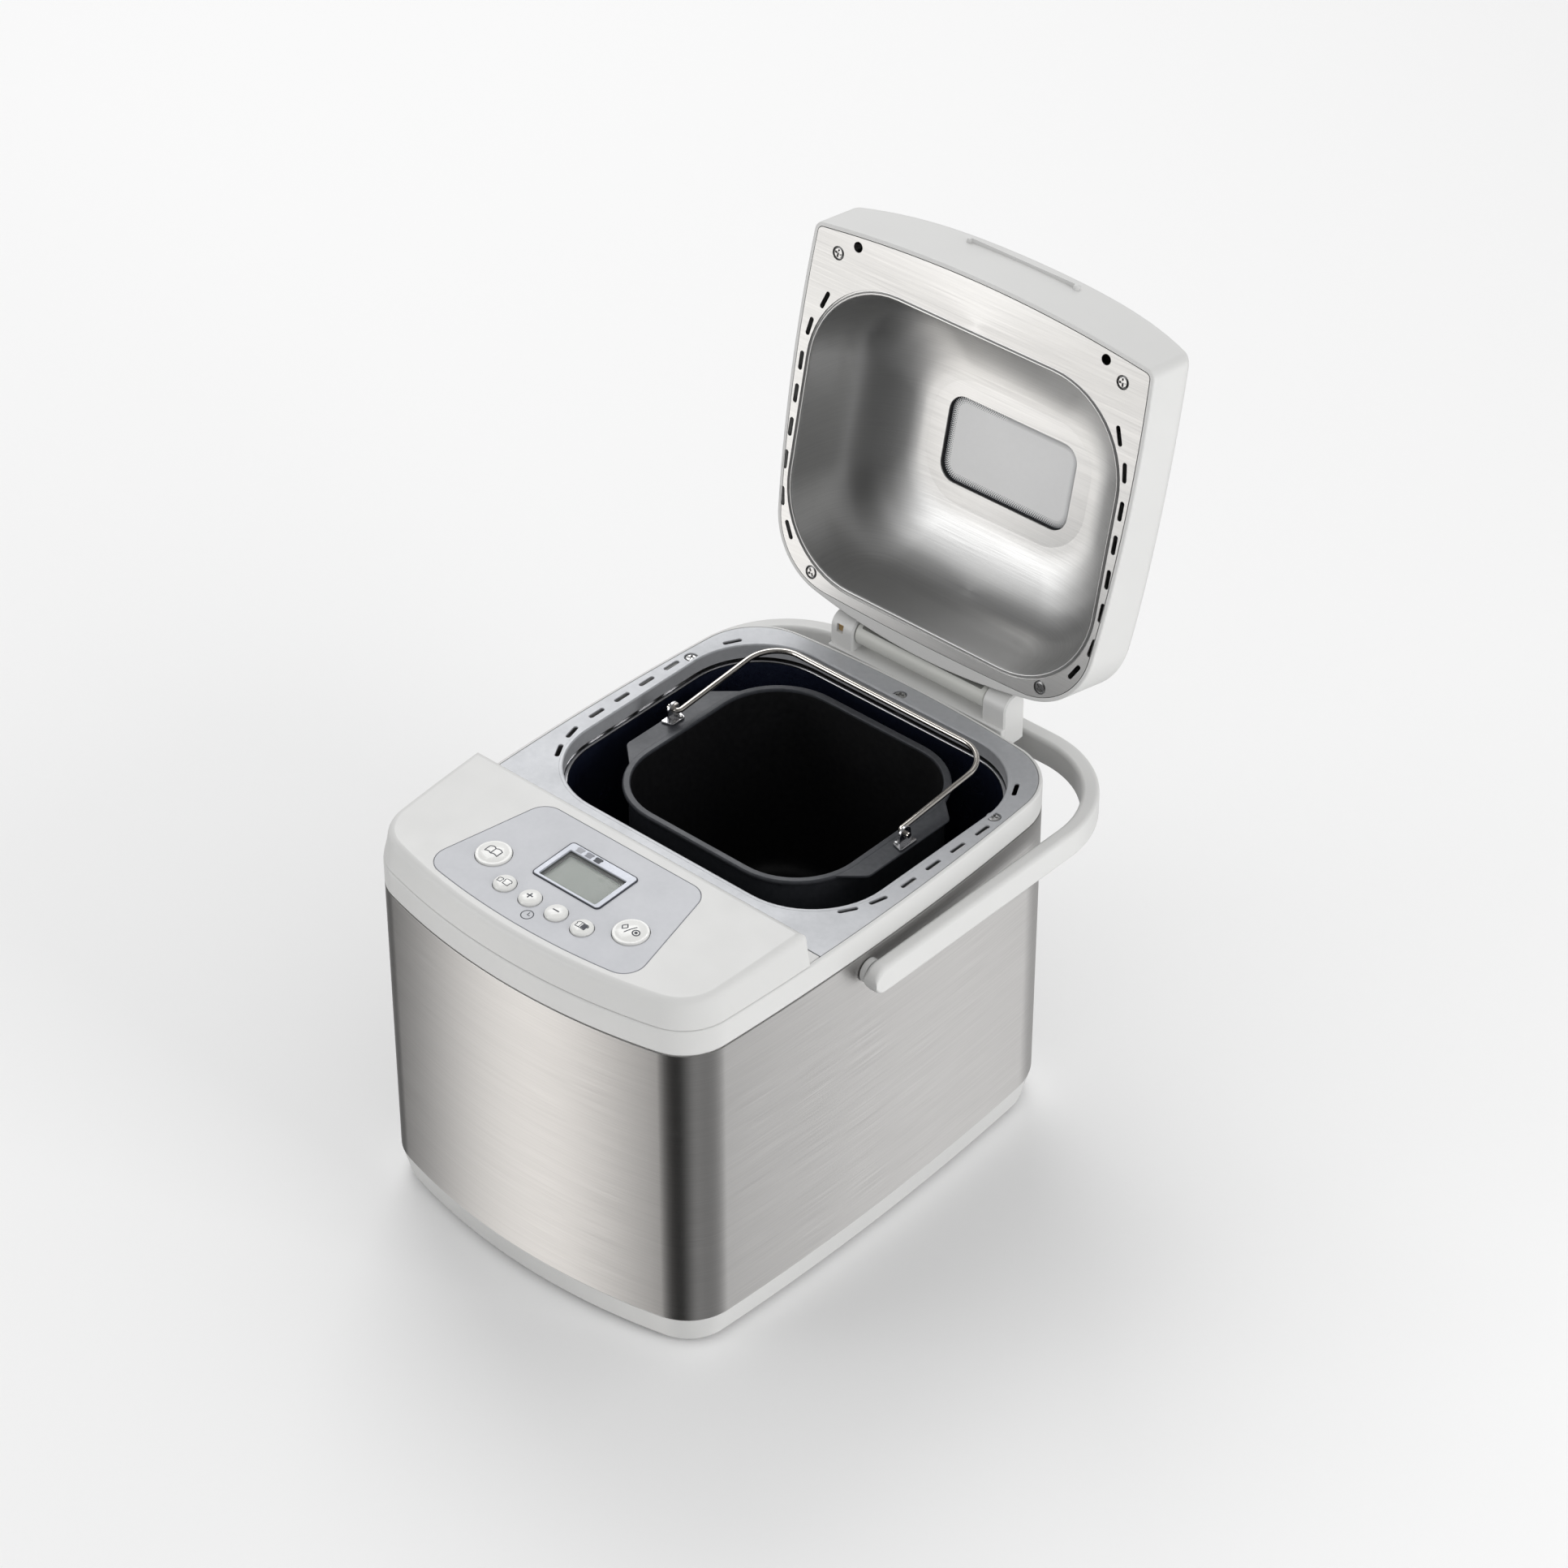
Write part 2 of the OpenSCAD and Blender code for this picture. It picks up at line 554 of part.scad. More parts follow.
// Button with a shallow dome above the overlay, a collar under the cover and a stem to its switch
module button_at(p, r) place() on_console() {
    disc(p, [-5, button_rise], r);
    intersection() {
        translate([p[0], p[1], button_rise + 1.2 - r * 3]) sphere(r = r * 3, $fn = 96);
        disc(p, [button_rise - 0.5, button_rise + 2], r - 0.3);
    }
    disc(p, [-5, -console_wall_t - 0.3], r + 1.2);
    disc(p, [board_w + 6.7, -5], 2.5);
}
module menu_button() color("white") button_at([-big_button_at[0], big_button_at[1]], big_button_r);
module start_button() color("white") button_at(big_button_at, big_button_r);
module loaf_button() color("white") button_at(small_button_at[0], small_button_r);
module plus_button() color("white") button_at(small_button_at[1], small_button_r);
module minus_button() color("white") button_at(small_button_at[2], small_button_r);
module crust_button() color("white") button_at(small_button_at[3], small_button_r);

// ---- Hinge, inlet and handle studs ----
module hinge_bracket() color("white") place() difference() {
    union() {
        both() {
            rod_x(knuckle_x, hinge_y, hinge_z, knuckle_r);
            block(knuckle_x, [hinge_y - knuckle_r, hinge_y + knuckle_r], [202, hinge_z]);
        }
        block([-knuckle_x[1], knuckle_x[1]], [119.1, 136], [202, 216]);
    }
    rod_x([-knuckle_x[0], knuckle_x[0]], hinge_y, hinge_z, knuckle_r + 1);
    rod_x([-knuckle_x[1] + 3, knuckle_x[1] - 3], hinge_y, hinge_z, hinge_pin_r);
}

module hinge_pins() color("silver") place() both()
    rod_x([30, knuckle_x[1] - 3], hinge_y, hinge_z, hinge_pin_r);

module handle_studs() color("white") place() both() {
    rod_x([115, 131.5], handle_pivot_y, handle_z, stud_r);
    rod_x([120.6, handle_half_w - handle_t - 0.4], handle_pivot_y, handle_z, 7);
    rod_x([115, 119.2], handle_pivot_y, handle_z, 5.5);
}

module cord_inlet() color("dimgray") place() difference() {
    union() {
        rod_y(inlet_at[0], [112, 119], inlet_at[1], 6);
        rod_y(inlet_at[0], [118.3, 121.2], inlet_at[1], 9);
        rod_y(inlet_at[0], [111, 114], inlet_at[1], 8);
    }
    rod_y(inlet_at[0], [100, 130], inlet_at[1], inlet_r);
}

// ---- Lid, drawn closed and turned open ----
function lid_edge(f) = f == 1 ? 3.5 : f == 0.985 ? 1 : 0;
function lid_ring(inset, f, drop) = [for (p = outline(lid_form, inset))
    let (x = p[0] * f, y = 17 + (p[1] - 17) * f, top = lid_depth(x, y) - lid_edge(f))
    [x, y + lean(y) * top / 45, panel_z + top - drop]];
module lid_solid(inset, drop, z0) loft(concat([at_z(outline(lid_form, inset), z0)],
    [for (f = lid_rings) lid_ring(inset, f, drop)]));

module lid_shell() color("white") place() lid_pose() {
    difference() {
        union() {
            difference() {
                lid_solid(0, 0, panel_z + 0.1);
                lid_solid(lid_t, lid_t, panel_z - 1);
            }
            difference() {
                prism(outline(lid_form, 1), panel_z + 0.1, panel_z + 1.9);
                prism(outline(panel_form, lid_t), panel_z - 1, panel_z + 3);
            }
        }
        block([-knuckle_x[1] - 1, knuckle_x[1] + 1], [117.5, 140], [panel_z + 1.9, hinge_z + arm_h]);
        both() block([knuckle_x[0] - 1, knuckle_x[1] + 1], [hinge_y - knuckle_r - 1, 140],
            [panel_z - 1, panel_z + 3]);
        block([-outer_window[0] - 0.2, outer_window[0] + 0.2], [outer_window[1] - 0.2, outer_window[2] + 0.2],
            [panel_z + 20, panel_z + 80]);
    }
    for (p = lid_screw_at) difference() {
        disc(p, [panel_z + panel_screw_head[1], panel_z + lid_depth(p[0], p[1]) - 1.3], 4);
        disc(p, [panel_z, panel_z + 16], 1.7);
    }
    difference() {
        block([-grip_half_w, grip_half_w], [grip_y - 9, grip_y], grip_z);
        block([-grip_half_w + 2, grip_half_w - 2], [grip_y - 10, grip_y - 3], [grip_z[0] - 1, grip_z[0] + 2]);
    }
}

function recess_ring(i, out) = rounded(-recess_half_w + i - out, recess_half_w - i + out,
    recess_y[0] + i - out, recess_y[1] - i + out, max(52 - 0.5 * i, 24) + out, 8);
module recess(out, up) loft(concat([at_z(recess_ring(0, out), panel_z - 1 + up)],
    [for (p = recess_profile) at_z(recess_ring(p[0], out), panel_z + p[1] + panel_t + up)]));

// Window outline, grown all round
function window_ring(out) = rounded(-window_half[0] - out, window_half[0] + out,
    window_y - window_half[1] - out, window_y + window_half[1] + out, window_r + out, 5);

module lid_liner() color("silver") place() lid_pose() difference() {
    union() {
        prism(outline(panel_form, lid_t + 0.1), panel_z, panel_z + panel_t);
        recess(panel_t, panel_t);
    }
    recess(0, -0.01);
    slots(lid_slots, panel_z - 1, panel_z + 3);
    both() disc(latch_hole_at, [panel_z - 1, panel_z + 3], 2.9);
    for (p = lid_screw_at) disc(p, [panel_z - 1, panel_z + 3], panel_screw_head[0] + 0.3);
    prism(window_ring(-1.5), window_z - 5, window_z + 5);
    block([-130, 130], [-100, 140], [panel_z - 5, panel_z]);
}

module lid_window() color("white", 0.5) place() lid_pose()
    prism(window_ring(-1.65), pane_z[0], pane_z[1]);

module window_gasket() color("black") place() lid_pose() difference() {
    prism(window_ring(1), gasket_z[0], gasket_z[1]);
    prism(window_ring(-1.6), window_z, window_z + 6);
}

module lid_outer_window() color("gainsboro", 0.6) place() lid_pose()
    block([-outer_window[0], outer_window[0]], [outer_window[1], outer_window[2]],
        [panel_z + lid_wall_h + 23.2, panel_z + lid_wall_h + 26.2]);

module lid_screws() color("gray") place() lid_pose()
    for (p = lid_screw_at) translate([p[0], p[1], panel_z + panel_screw_head[1]]) mirror([0, 0, 1])
        screw(panel_screw_head[0], panel_screw_head[1], 1.65, 12);

module lid_hinge_arm() color("white") place() lid_pose() difference() {
    union() {
        rod_x([-knuckle_x[0] + 0.5, knuckle_x[0] - 0.5], hinge_y, hinge_z, barrel_r);
        block([-knuckle_x[0] + 0.5, knuckle_x[0] - 0.5], [120.4, 131], [hinge_z, hinge_z + arm_h]);
    }
    rod_x([-60, 60], hinge_y, hinge_z, hinge_pin_r + run_gap);
    block([-34, 34], [hinge_y - 12, hinge_y - 4.4], [hinge_z - 9, hinge_z + 20]);
}

// ---- Carry handle ----
function bail_ring(half_w, rear_y, r) =
    let (half = concat([[half_w, handle_pivot_y]], bend([half_w - r, rear_y - r], r, 0, 90, 14)))
    concat(half, flip_x(half));
module carry_handle() color("white") place() difference() {
    union() {
        difference() {
            prism(bail_ring(handle_half_w, handle_rear_y, handle_corner_r),
                handle_z - handle_h / 2, handle_z + handle_h / 2);
            translate([0, -1, 0])
                prism(bail_ring(handle_half_w - handle_t, handle_rear_y - handle_rear_t + 1,
                    handle_corner_r - handle_t), handle_z - handle_h, handle_z + handle_h);
        }
        both() rod_x([handle_half_w - handle_t, handle_half_w], handle_pivot_y, handle_z, handle_h / 2);
    }
    both() rod_x([handle_half_w - handle_t - 1, handle_half_w - 2], handle_pivot_y, handle_z,
        stud_r + run_gap);
}

// ---- Pan ----
module bread_pan() color("dimgray") place() difference() {
    union() {
        prism(pan_ring(pan_wall_t), pan_floor_z, pan_rim_z - 0.6);
        prism(pan_ring(pan_edge_w), pan_rim_z - 1.6, pan_rim_z);
        both() translate([0, oven_mid_y, pan_rim_z - 1.6]) linear_extrude(height = 1.6)
            polygon([[60, -52], [flange_half_w, pan_flange_y[0]],
                [flange_half_w, pan_flange_y[1]], [60, 52]]);
    }
    prism(pan_ring(0), pan_floor_z + 1.6, pan_rim_z + 1);
    disc([0, oven_mid_y], [pan_floor_z - 1, pan_floor_z + 3], 9.1);
    both() for (y = rivet_y) disc([rivet_x, oven_mid_y + y], [pan_rim_z - 4, pan_rim_z + 1], rivet_r);
}

module pan_ears() color("gainsboro") place() both() difference() {
    union() {
        block([ear_x - 4.4, ear_x + 3], [oven_mid_y - 7, oven_mid_y + 7], [pan_rim_z, pan_rim_z + 1.2]);
        block([ear_x - 1, ear_x + 0.6], [oven_mid_y - 4.4, oven_mid_y + 4.4], [pan_rim_z + 1, wire_pivot_z]);
        rod_x([ear_x - 1, ear_x + 0.6], oven_mid_y, wire_pivot_z, 4.4);
    }
    rod_x([ear_x - 3, ear_x + 3], oven_mid_y, wire_pivot_z, wire_r + run_gap);
    for (y = rivet_y) disc([rivet_x, oven_mid_y + y], [pan_rim_z - 1, pan_rim_z + 3], rivet_r);
}

module ear_rivets() color("gray") place() both() for (y = rivet_y) {
    disc([rivet_x, oven_mid_y + y], [pan_rim_z - 2.4, pan_rim_z + 2], rivet_r);
    disc([rivet_x, oven_mid_y + y], [pan_rim_z + 1.2, pan_rim_z + 2], rivet_r + 0.5);
    disc([rivet_x, oven_mid_y + y], [pan_rim_z - 2.4, pan_rim_z - 1.6], rivet_r + 0.5);
}

module pan_base_ring() color("darkgray") place() difference() {
    union() {
        disc([0, oven_mid_y], [oven_floor_z + 6, pan_floor_z], 42.5);
        disc([0, oven_mid_y], [pan_floor_z - 3, pan_floor_z], 50);
    }
    disc([0, oven_mid_y], [oven_floor_z, pan_floor_z - 2], 40);
    disc([0, oven_mid_y], [oven_floor_z, pan_floor_z + 2], 11);
}

module shaft_bush() color("goldenrod") place() difference() {
    union() {
        disc([0, oven_mid_y], [pan_floor_z - 4, pan_floor_z + 6], 9);
        disc([0, oven_mid_y], [pan_floor_z - 4, pan_floor_z - 2.2], 10.8);
    }
    disc([0, oven_mid_y], [pan_floor_z - 8, pan_floor_z + 10], shaft_r + run_gap);
}

module shaft_seal() color("black") place() difference() {
    disc([0, oven_mid_y], [pan_floor_z + 6, pan_floor_z + 7.5], 7);
    disc([0, oven_mid_y], [pan_floor_z, pan_floor_z + 10], shaft_r + run_gap);
}

// Wire bail: arms, two bends and a crossbar, drawn upright from its pivot axis and leaned back
module wire_bend(x, z, a) translate([x, 0, z]) rotate([90, 0, 0]) rotate([0, 0, a])
    rotate_extrude(angle = 90) translate([wire_corner_r, 0]) circle(r = wire_r, $fn = 32);
module wire_loop() {
    both() {
        rod_x([wire_half_w, ear_x + 3], 0, 0, wire_r);
        translate([wire_half_w, 0, 0]) sphere(r = wire_r);
        disc([wire_half_w, 0], [0, wire_arm - wire_corner_r], wire_r);
        mirror([0, 1, 0]) wire_bend(wire_half_w - wire_corner_r, wire_arm - wire_corner_r, 0);
    }
    rod_x([-wire_half_w + wire_corner_r, wire_half_w - wire_corner_r], 0, wire_arm, wire_r);
}
module pan_handle() color("silver") place()
    translate([0, oven_mid_y, wire_pivot_z]) rotate([-wire_back, 0, 0]) wire_loop();

// ---- Kneader ----
module paddle_shaft() color("silver") place() {
    disc([0, oven_mid_y], [pan_floor_z - 11, pan_floor_z + 22], shaft_r);
    disc([0, oven_mid_y], [pan_floor_z - 4.9, pan_floor_z - 4.2], 6.5);
}

module kneading_paddle() color("dimgray") place() at_spindle(pan_floor_z + 8.2) difference() {
    union() {
        cylinder(r = 9, h = 22);
        translate([0, -3, 0]) cube([36, 6, 10]);
        translate([0, -2, 10]) cube([30, 4, 12]);
        translate([36, 0, 0]) cylinder(r = 3, h = 10);
    }
    translate([0, 0, -1]) cylinder(r = shaft_r, h = 14.8);
}

module shaft_coupling() color("gray") place() at_spindle(0) difference() {
    union() {
        disc([0, 0], [pan_floor_z - 11, pan_floor_z - 5.2], 8);
        translate([-20, -3, pan_floor_z - 11]) cube([40, 6, 4]);
    }
    disc([0, 0], [pan_floor_z - 12, pan_floor_z], shaft_r);
}

// ---- Drive ----
module drive_spindle() color("silver") place()
    disc([0, oven_mid_y], [pulley_z[0] - 3, oven_floor_z + 9.5], shaft_r);

module drive_coupler() color("gray") place() at_spindle(0) difference() {
    union() {
        disc([0, 0], [oven_floor_z + 3.4, oven_floor_z + 7], 16);
        for (a = [45, 225]) rotate([0, 0, a]) translate([8, -3, oven_floor_z + 6]) cube([7, 6, 8]);
    }
    disc([0, 0], [oven_floor_z, oven_floor_z + 8], shaft_r);
}

module large_pulley() color("black") place() at_spindle(0) difference() {
    union() {
        disc([0, 0], pulley_z, big_pulley_r);
        disc([0, 0], [pulley_z[0], pulley_z[0] + 1], big_pulley_r + 3);
        disc([0, 0], [pulley_z[1] - 1, pulley_z[1]], big_pulley_r + 3);
    }
    disc([0, 0], [pulley_z[0] - 1, pulley_z[1] + 1], shaft_r);
    for (a = [0:60:300]) rotate([0, 0, a]) disc([30, 0], [pulley_z[0] - 1, pulley_z[1] + 1], 10);
}

module motor_pulley() color("darkgray") place() {
    disc(motor_at, [pulley_z[0] - 2, chassis_z + 19], shaft_r);
    disc(motor_at, pulley_z, small_pulley_r);
    disc(motor_at, [pulley_z[0], pulley_z[0] + 1], small_pulley_r + 3);
    disc(motor_at, [pulley_z[1] - 1, pulley_z[1]], small_pulley_r + 3);
}

base_tray();
rubber_feet();
base_screws();
outer_shell();
top_rim();
deck_plate();
deck_screws();
oven_liner();
heating_element();
element_brackets();
element_bushings();
temperature_sensor();
thermal_fuse();
pan_socket();
spindle_bearing();
drive_chassis();
drive_motor();
motor_capacitor();
drive_belt();
power_board();
console_cover();
control_overlay();
display_frame();
display_window();
display_module();
control_board();
tact_switches();
control_cable();
hinge_bracket();
hinge_pins();
handle_studs();
cord_inlet();
lid_shell();
lid_liner();
lid_window();
window_gasket();
lid_outer_window();
lid_screws();
lid_hinge_arm();
carry_handle();
bread_pan();
pan_ears();
ear_rivets();
pan_base_ring();
shaft_bush();
shaft_seal();
pan_handle();
paddle_shaft();
kneading_paddle();
shaft_coupling();
drive_spindle();
drive_coupler();
large_pulley();
motor_pulley();
menu_button();
loaf_button();
plus_button();
minus_button();
crust_button();
start_button();
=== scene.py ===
"""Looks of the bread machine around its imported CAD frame.

Lengths are millimetres until a piece is made.
"""
import json
import math

import bmesh
import bpy
from mathutils import Matrix, Vector
from mathutils.geometry import delaunay_2d_cdt


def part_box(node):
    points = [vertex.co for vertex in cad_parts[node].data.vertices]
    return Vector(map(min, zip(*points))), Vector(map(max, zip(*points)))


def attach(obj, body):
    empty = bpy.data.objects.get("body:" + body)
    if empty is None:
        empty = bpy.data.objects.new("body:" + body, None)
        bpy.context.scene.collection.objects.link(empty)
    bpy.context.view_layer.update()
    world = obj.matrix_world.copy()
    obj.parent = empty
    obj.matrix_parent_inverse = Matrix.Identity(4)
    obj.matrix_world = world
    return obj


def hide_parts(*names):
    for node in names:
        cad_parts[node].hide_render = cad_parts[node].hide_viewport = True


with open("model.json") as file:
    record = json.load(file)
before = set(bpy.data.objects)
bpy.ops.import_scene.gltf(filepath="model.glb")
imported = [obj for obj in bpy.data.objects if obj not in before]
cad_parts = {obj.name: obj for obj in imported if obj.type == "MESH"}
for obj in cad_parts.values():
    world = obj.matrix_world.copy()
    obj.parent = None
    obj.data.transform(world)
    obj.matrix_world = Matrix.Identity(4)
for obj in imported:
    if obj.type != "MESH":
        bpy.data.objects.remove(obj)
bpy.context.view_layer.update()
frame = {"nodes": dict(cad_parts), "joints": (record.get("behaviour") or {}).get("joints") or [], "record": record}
MM = 0.001


# ---- Dimensions taken from the frame ----
def box_mm(node):
    low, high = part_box(node)
    return low / MM, high / MM


def joint(name):
    return next(j for j in frame["joints"] if j["name"] == name)


shell_low, shell_high = box_mm("outer_shell")
rim_high = box_mm("top_rim")[1]
tray_low, tray_high = box_mm("base_tray")
cover_high = box_mm("console_cover")[1]
liner_low, liner_high = box_mm("oven_liner")
pan_low, pan_high = box_mm("bread_pan")
hinge_at = Vector(joint("lid_hinge")["pos_m"]) / MM
lid_turn = math.radians(joint("lid_hinge")["range_deg"][0])
handle_at = Vector(joint("handle_swing")["pos_m"]) / MM
bail_at = Vector(joint("pan_handle_swing")["pos_m"]) / MM

# The outlines below are drawn in the body's own axes, whose rear edge lies 119 mm behind
# their centre
BODY_REAR = 119.0
body_y = shell_high.y - BODY_REAR
HALF_W = shell_high.x
WRAP_Z0, WRAP_Z1 = shell_low.z, shell_high.z
WRAP_T = 0.8
DECK_Z = rim_high.z
OVEN_Y = bail_at.y - body_y
DECK_Y = -90.4
CONSOLE_REAR_Y = cover_high.y - body_y
CONSOLE_REAR_Z = cover_high.z
CONSOLE_SLOPE = math.radians(2.4)
HINGE_Y, HINGE_Z = hinge_at.y - body_y, hinge_at.z
PANEL_Z = 217.5
LID_WALL_H, LID_CROWN, LID_T, PANEL_T = 33.0, 28.0, 2.4, 0.8
# Outline: half width, widest y, side radius, front y, front corner (y, radius), rear y,
# rear corner (y, radius)
BODY_FORM = (HALF_W, -45, 1600, shell_low.y - body_y, (-158.5, 30), BODY_REAR, (75, 40))
LID_FORM = (117.5, -29, 1000, -98.4, (-85, 6), 124, (74, 43))
PANEL_FORM = (*LID_FORM[:5], 118.3, LID_FORM[6])
DECK_SLOTS = ((101.6, 83.8, 118), (111.3, 44.8, 91), (111.3, 24.8, 90), (111.2, 5.1, 90),
              (111.4, -14.7, 90), (109.3, -36.2, 75), (103, -52.8, 60))
LID_SLOTS = ((101.3, -49.1, 70), (108.9, -31, 80), (111.1, -9.9, 90), (111.1, 9.6, 90),
             (111.1, 29.7, 90), (111.1, 49.3, 92), (109.3, 70.8, 101), (101.3, 88.5, 120))
DECK_SCREWS = ((-108.5, 57.7), (108.5, 57.7), (0, 107.8))
LID_SCREWS = ((-97.3, -77.8), (97.3, -77.8), (-81.5, 106.4), (81.5, 106.4))
LATCH_HOLES = ((-84.7, -85.8), (84.7, -85.8))
BIG_BUTTONS = ((-48.5, -56.8), (48.5, -56.8))
SMALL_BUTTONS = ((-27.3, -70.3), (-9.2, -70.3), (9.2, -70.3), (27.3, -70.3))
BIG_R, SMALL_R, BUTTON_GAP = 9.7, 6.2, 0.35
SLOT_L, SLOT_W = 11.0, 2.6
KNUCKLE_R, KNUCKLE_W = 8.5, 16
PIVOT_Y, PIVOT_Z = -57, 190
INLET_X, INLET_Z = -62, 40
RECESS_DEPTH = 51.3


# ---- Plane curves ----
def arc(centre, r, a0, a1, n):
    steps = [math.radians(a0 + (a1 - a0) * i / n) for i in range(1, n + 1)]
    return [(centre[0] + r * math.cos(a), centre[1] + r * math.sin(a)) for a in steps]


def bend(centre, r, a0, a1, n):
    """Arc with both of its ends."""
    a = math.radians(a0)
    return [(centre[0] + r * math.cos(a), centre[1] + r * math.sin(a))] + arc(centre, r, a0, a1, n)


def flip(points):
    return [(-x, y) for x, y in reversed(points)]


def degrees(y, x):
    return math.degrees(math.atan2(y, x))


def corner_x(form, corner):
    return form[0] - form[2] + math.sqrt((form[2] - corner[1]) ** 2 - (corner[0] - form[1]) ** 2)


def end_radius(x, reach, r):
    return (x * x + reach * reach - r * r) / (2 * (reach - r))


def half_outline(form, inset):
    """Right half of a bowed outline, from the front middle to the rear middle."""
    side = (form[0] - form[2], form[1])
    front = (corner_x(form, form[4]), form[4][0])
    rear = (corner_x(form, form[6]), form[6][0])
    front_r = end_radius(front[0], front[1] - form[3], form[4][1])
    rear_r = end_radius(rear[0], form[5] - rear[1], form[6][1])
    front_o, rear_o = (0, form[3] + front_r), (0, form[5] - rear_r)
    a1 = degrees(front[1] - front_o[1], front[0])
    a2 = degrees(front[1] - side[1], front[0] - side[0])
    a3 = degrees(rear[1] - side[1], rear[0] - side[0])
    a4 = degrees(rear[1] - rear_o[1], rear[0])
    return ([(0, form[3] + inset)]
            + arc(front_o, front_r - inset, -90, a1, 15)
            + arc(front, form[4][1] - inset, a1, a2, 15)
            + arc(side, form[2] - inset, a2, a3, 18)
            + arc(rear, form[6][1] - inset, a3, a4, 18)
            + arc(rear_o, rear_r - inset, a4, 90, 12))


def outline(form, inset):
    half = half_outline(form, inset)
    return half + flip(half[1:-1])


def front_outline(inset, y):
    """Front part of the body outline, cut straight across at y."""
    half = half_outline(BODY_FORM, inset)[:31]
    side = (HALF_W - BODY_FORM[2], BODY_FORM[1])
    start = degrees(half[-1][1] - side[1], half[-1][0] - side[0])
    end = math.degrees(math.asin((y - side[1]) / (BODY_FORM[2] - inset)))
    half += arc(side, BODY_FORM[2] - inset, start, end, 9)
    return half + flip(half[1:])


def both(rings):
    """The rings and their mirror images."""
    return rings + [flip(ring) for ring in rings]


def rounded(x0, x1, y0, y1, r, n=14):
    return (bend((x1 - r, y0 + r), r, -90, 0, n) + bend((x1 - r, y1 - r), r, 0, 90, n)
            + bend((x0 + r, y1 - r), r, 90, 180, n) + bend((x0 + r, y0 + r), r, 180, 270, n))


def body_ring(inset):
    return outline(BODY_FORM, inset)


def deck_ring(inset):
    """Body outline behind the console."""
    half = [p for p in half_outline(BODY_FORM, inset) if p[1] > DECK_Y]
    side_r = BODY_FORM[2]
    x = HALF_W - side_r + math.sqrt((side_r - inset) ** 2 - (DECK_Y - BODY_FORM[1]) ** 2)
    return [(x, DECK_Y)] + half + flip(half[:-1]) + [(-x, DECK_Y)]


def oven_ring(inset):
    return rounded(-104.5 + inset, 104.5 - inset, -76 + inset, 103.5 - inset, 47 - inset)


def pan_ring(out):
    return rounded(-72 - out, 72 + out, OVEN_Y - 68.5 - out, OVEN_Y + 68.5 + out, 38 + out)


def recess_ring(inset):
    r = 52 - inset if inset < 0 else max(52 - 0.5 * inset, 24)
    return rounded(-105.5 + inset, 105.5 - inset, -66.5 + inset, 106.5 - inset, r)


def window_ring(out):
    return rounded(-46.2 - out, 46.2 + out, -7.3 - out, 46.7 + out, 12 + out, 8)


def slot_ring(at):
    """Outline of one vent slot."""
    r, reach = SLOT_W / 2, (SLOT_L - SLOT_W) / 2
    ends = bend((reach, 0), r, -90, 90, 8) + bend((-reach, 0), r, 90, 270, 8)
    c, s = math.cos(math.radians(at[2])), math.sin(math.radians(at[2]))
    return [(at[0] + x * c - y * s, at[1] + x * s + y * c) for x, y in ends]


def closed(points):
    return [*points, points[0]]


def lifted(points, z):
    """Points of a plane outline at height z."""
    return [(x, y, z) for x, y in points]


def circle(at, r, n=32):
    return arc(at, r, 0, 360, n)


def anticlockwise(ring):
    """The ring without repeated points, in anticlockwise order."""
    ring = [p for p, q in zip(ring, [ring[-1], *ring]) if math.dist(p, q) > 0.001]
    area = sum(p[0] * q[1] - q[0] * p[1] for p, q in zip(ring, closed(ring)[1:]))
    return ring if area > 0 else ring[::-1]


def shrunk(ring, by):
    """Anticlockwise ring moved inwards."""
    out = []
    for a, p, b in zip([ring[-1], *ring], ring, [*ring[1:], ring[0]]):
        before, after = (Vector(p) - Vector(a)).normalized(), (Vector(b) - Vector(p)).normalized()
        along = (before + after).normalized()
        reach = by / max(0.5, along.dot(after))
        out.append((p[0] - along.y * reach, p[1] + along.x * reach))
    return out


def inside(point, ring):
    """Whether a point lies inside a closed ring."""
    x, y = point
    hits = [x < p[0] + (y - p[1]) * (q[0] - p[0]) / (q[1] - p[1])
            for p, q in zip(ring, closed(ring)[1:]) if (p[1] > y) != (q[1] > y)]
    return sum(hits) % 2 == 1


def overlay_ring(inset):
    """Trapezoid with round corners and a bowed front edge."""
    r, lean, bow, front = 12 - inset, 13, 8, 418
    half = (bend((0, front - 89.2), front - inset, -90, -90 + bow, 8)
            + bend((59.5, -72.8), r, -90 + bow, lean, 12) + bend((47.5, -20.8), r, lean, 90, 12))
    return half + flip(half[1:])


def profile(corners, n=5, closed=True):
    """Polyline through (u, v, radius) corners, with each corner rounded to its radius."""
    out, count = [], len(corners)
    for i, (u, v, r) in enumerate(corners):
        p = Vector((u, v))
        if r <= 0 or (not closed and i in (0, count - 1)):
            out.append((u, v))
            continue
        a = (Vector(corners[i - 1][:2]) - p).normalized()
        b = (Vector(corners[(i + 1) % count][:2]) - p).normalized()
        half = a.angle(b) / 2
        reach = r / math.tan(half)
        centre = p + (a + b).normalized() * (r / math.sin(half))
        start, end = p + a * reach - centre, p + b * reach - centre
        turn = start.angle_signed(end)
        out += [tuple(centre + Matrix.Rotation(-turn * k / n, 2) @ start) for k in range(n + 1)]
    return out


# ---- Lid surface ----
def crown(y):
    return LID_CROWN * (1 - (abs(y - 10) / 141.6) ** 2.2)


def lid_depth(x, y):
    return LID_WALL_H + crown(y) * (1 - min(1.0, abs(x) / 117.5) ** 3.2)


def lid_lean(y):
    return -3.5 * max(0.0, min(1.0, (-50 - y) / 40))


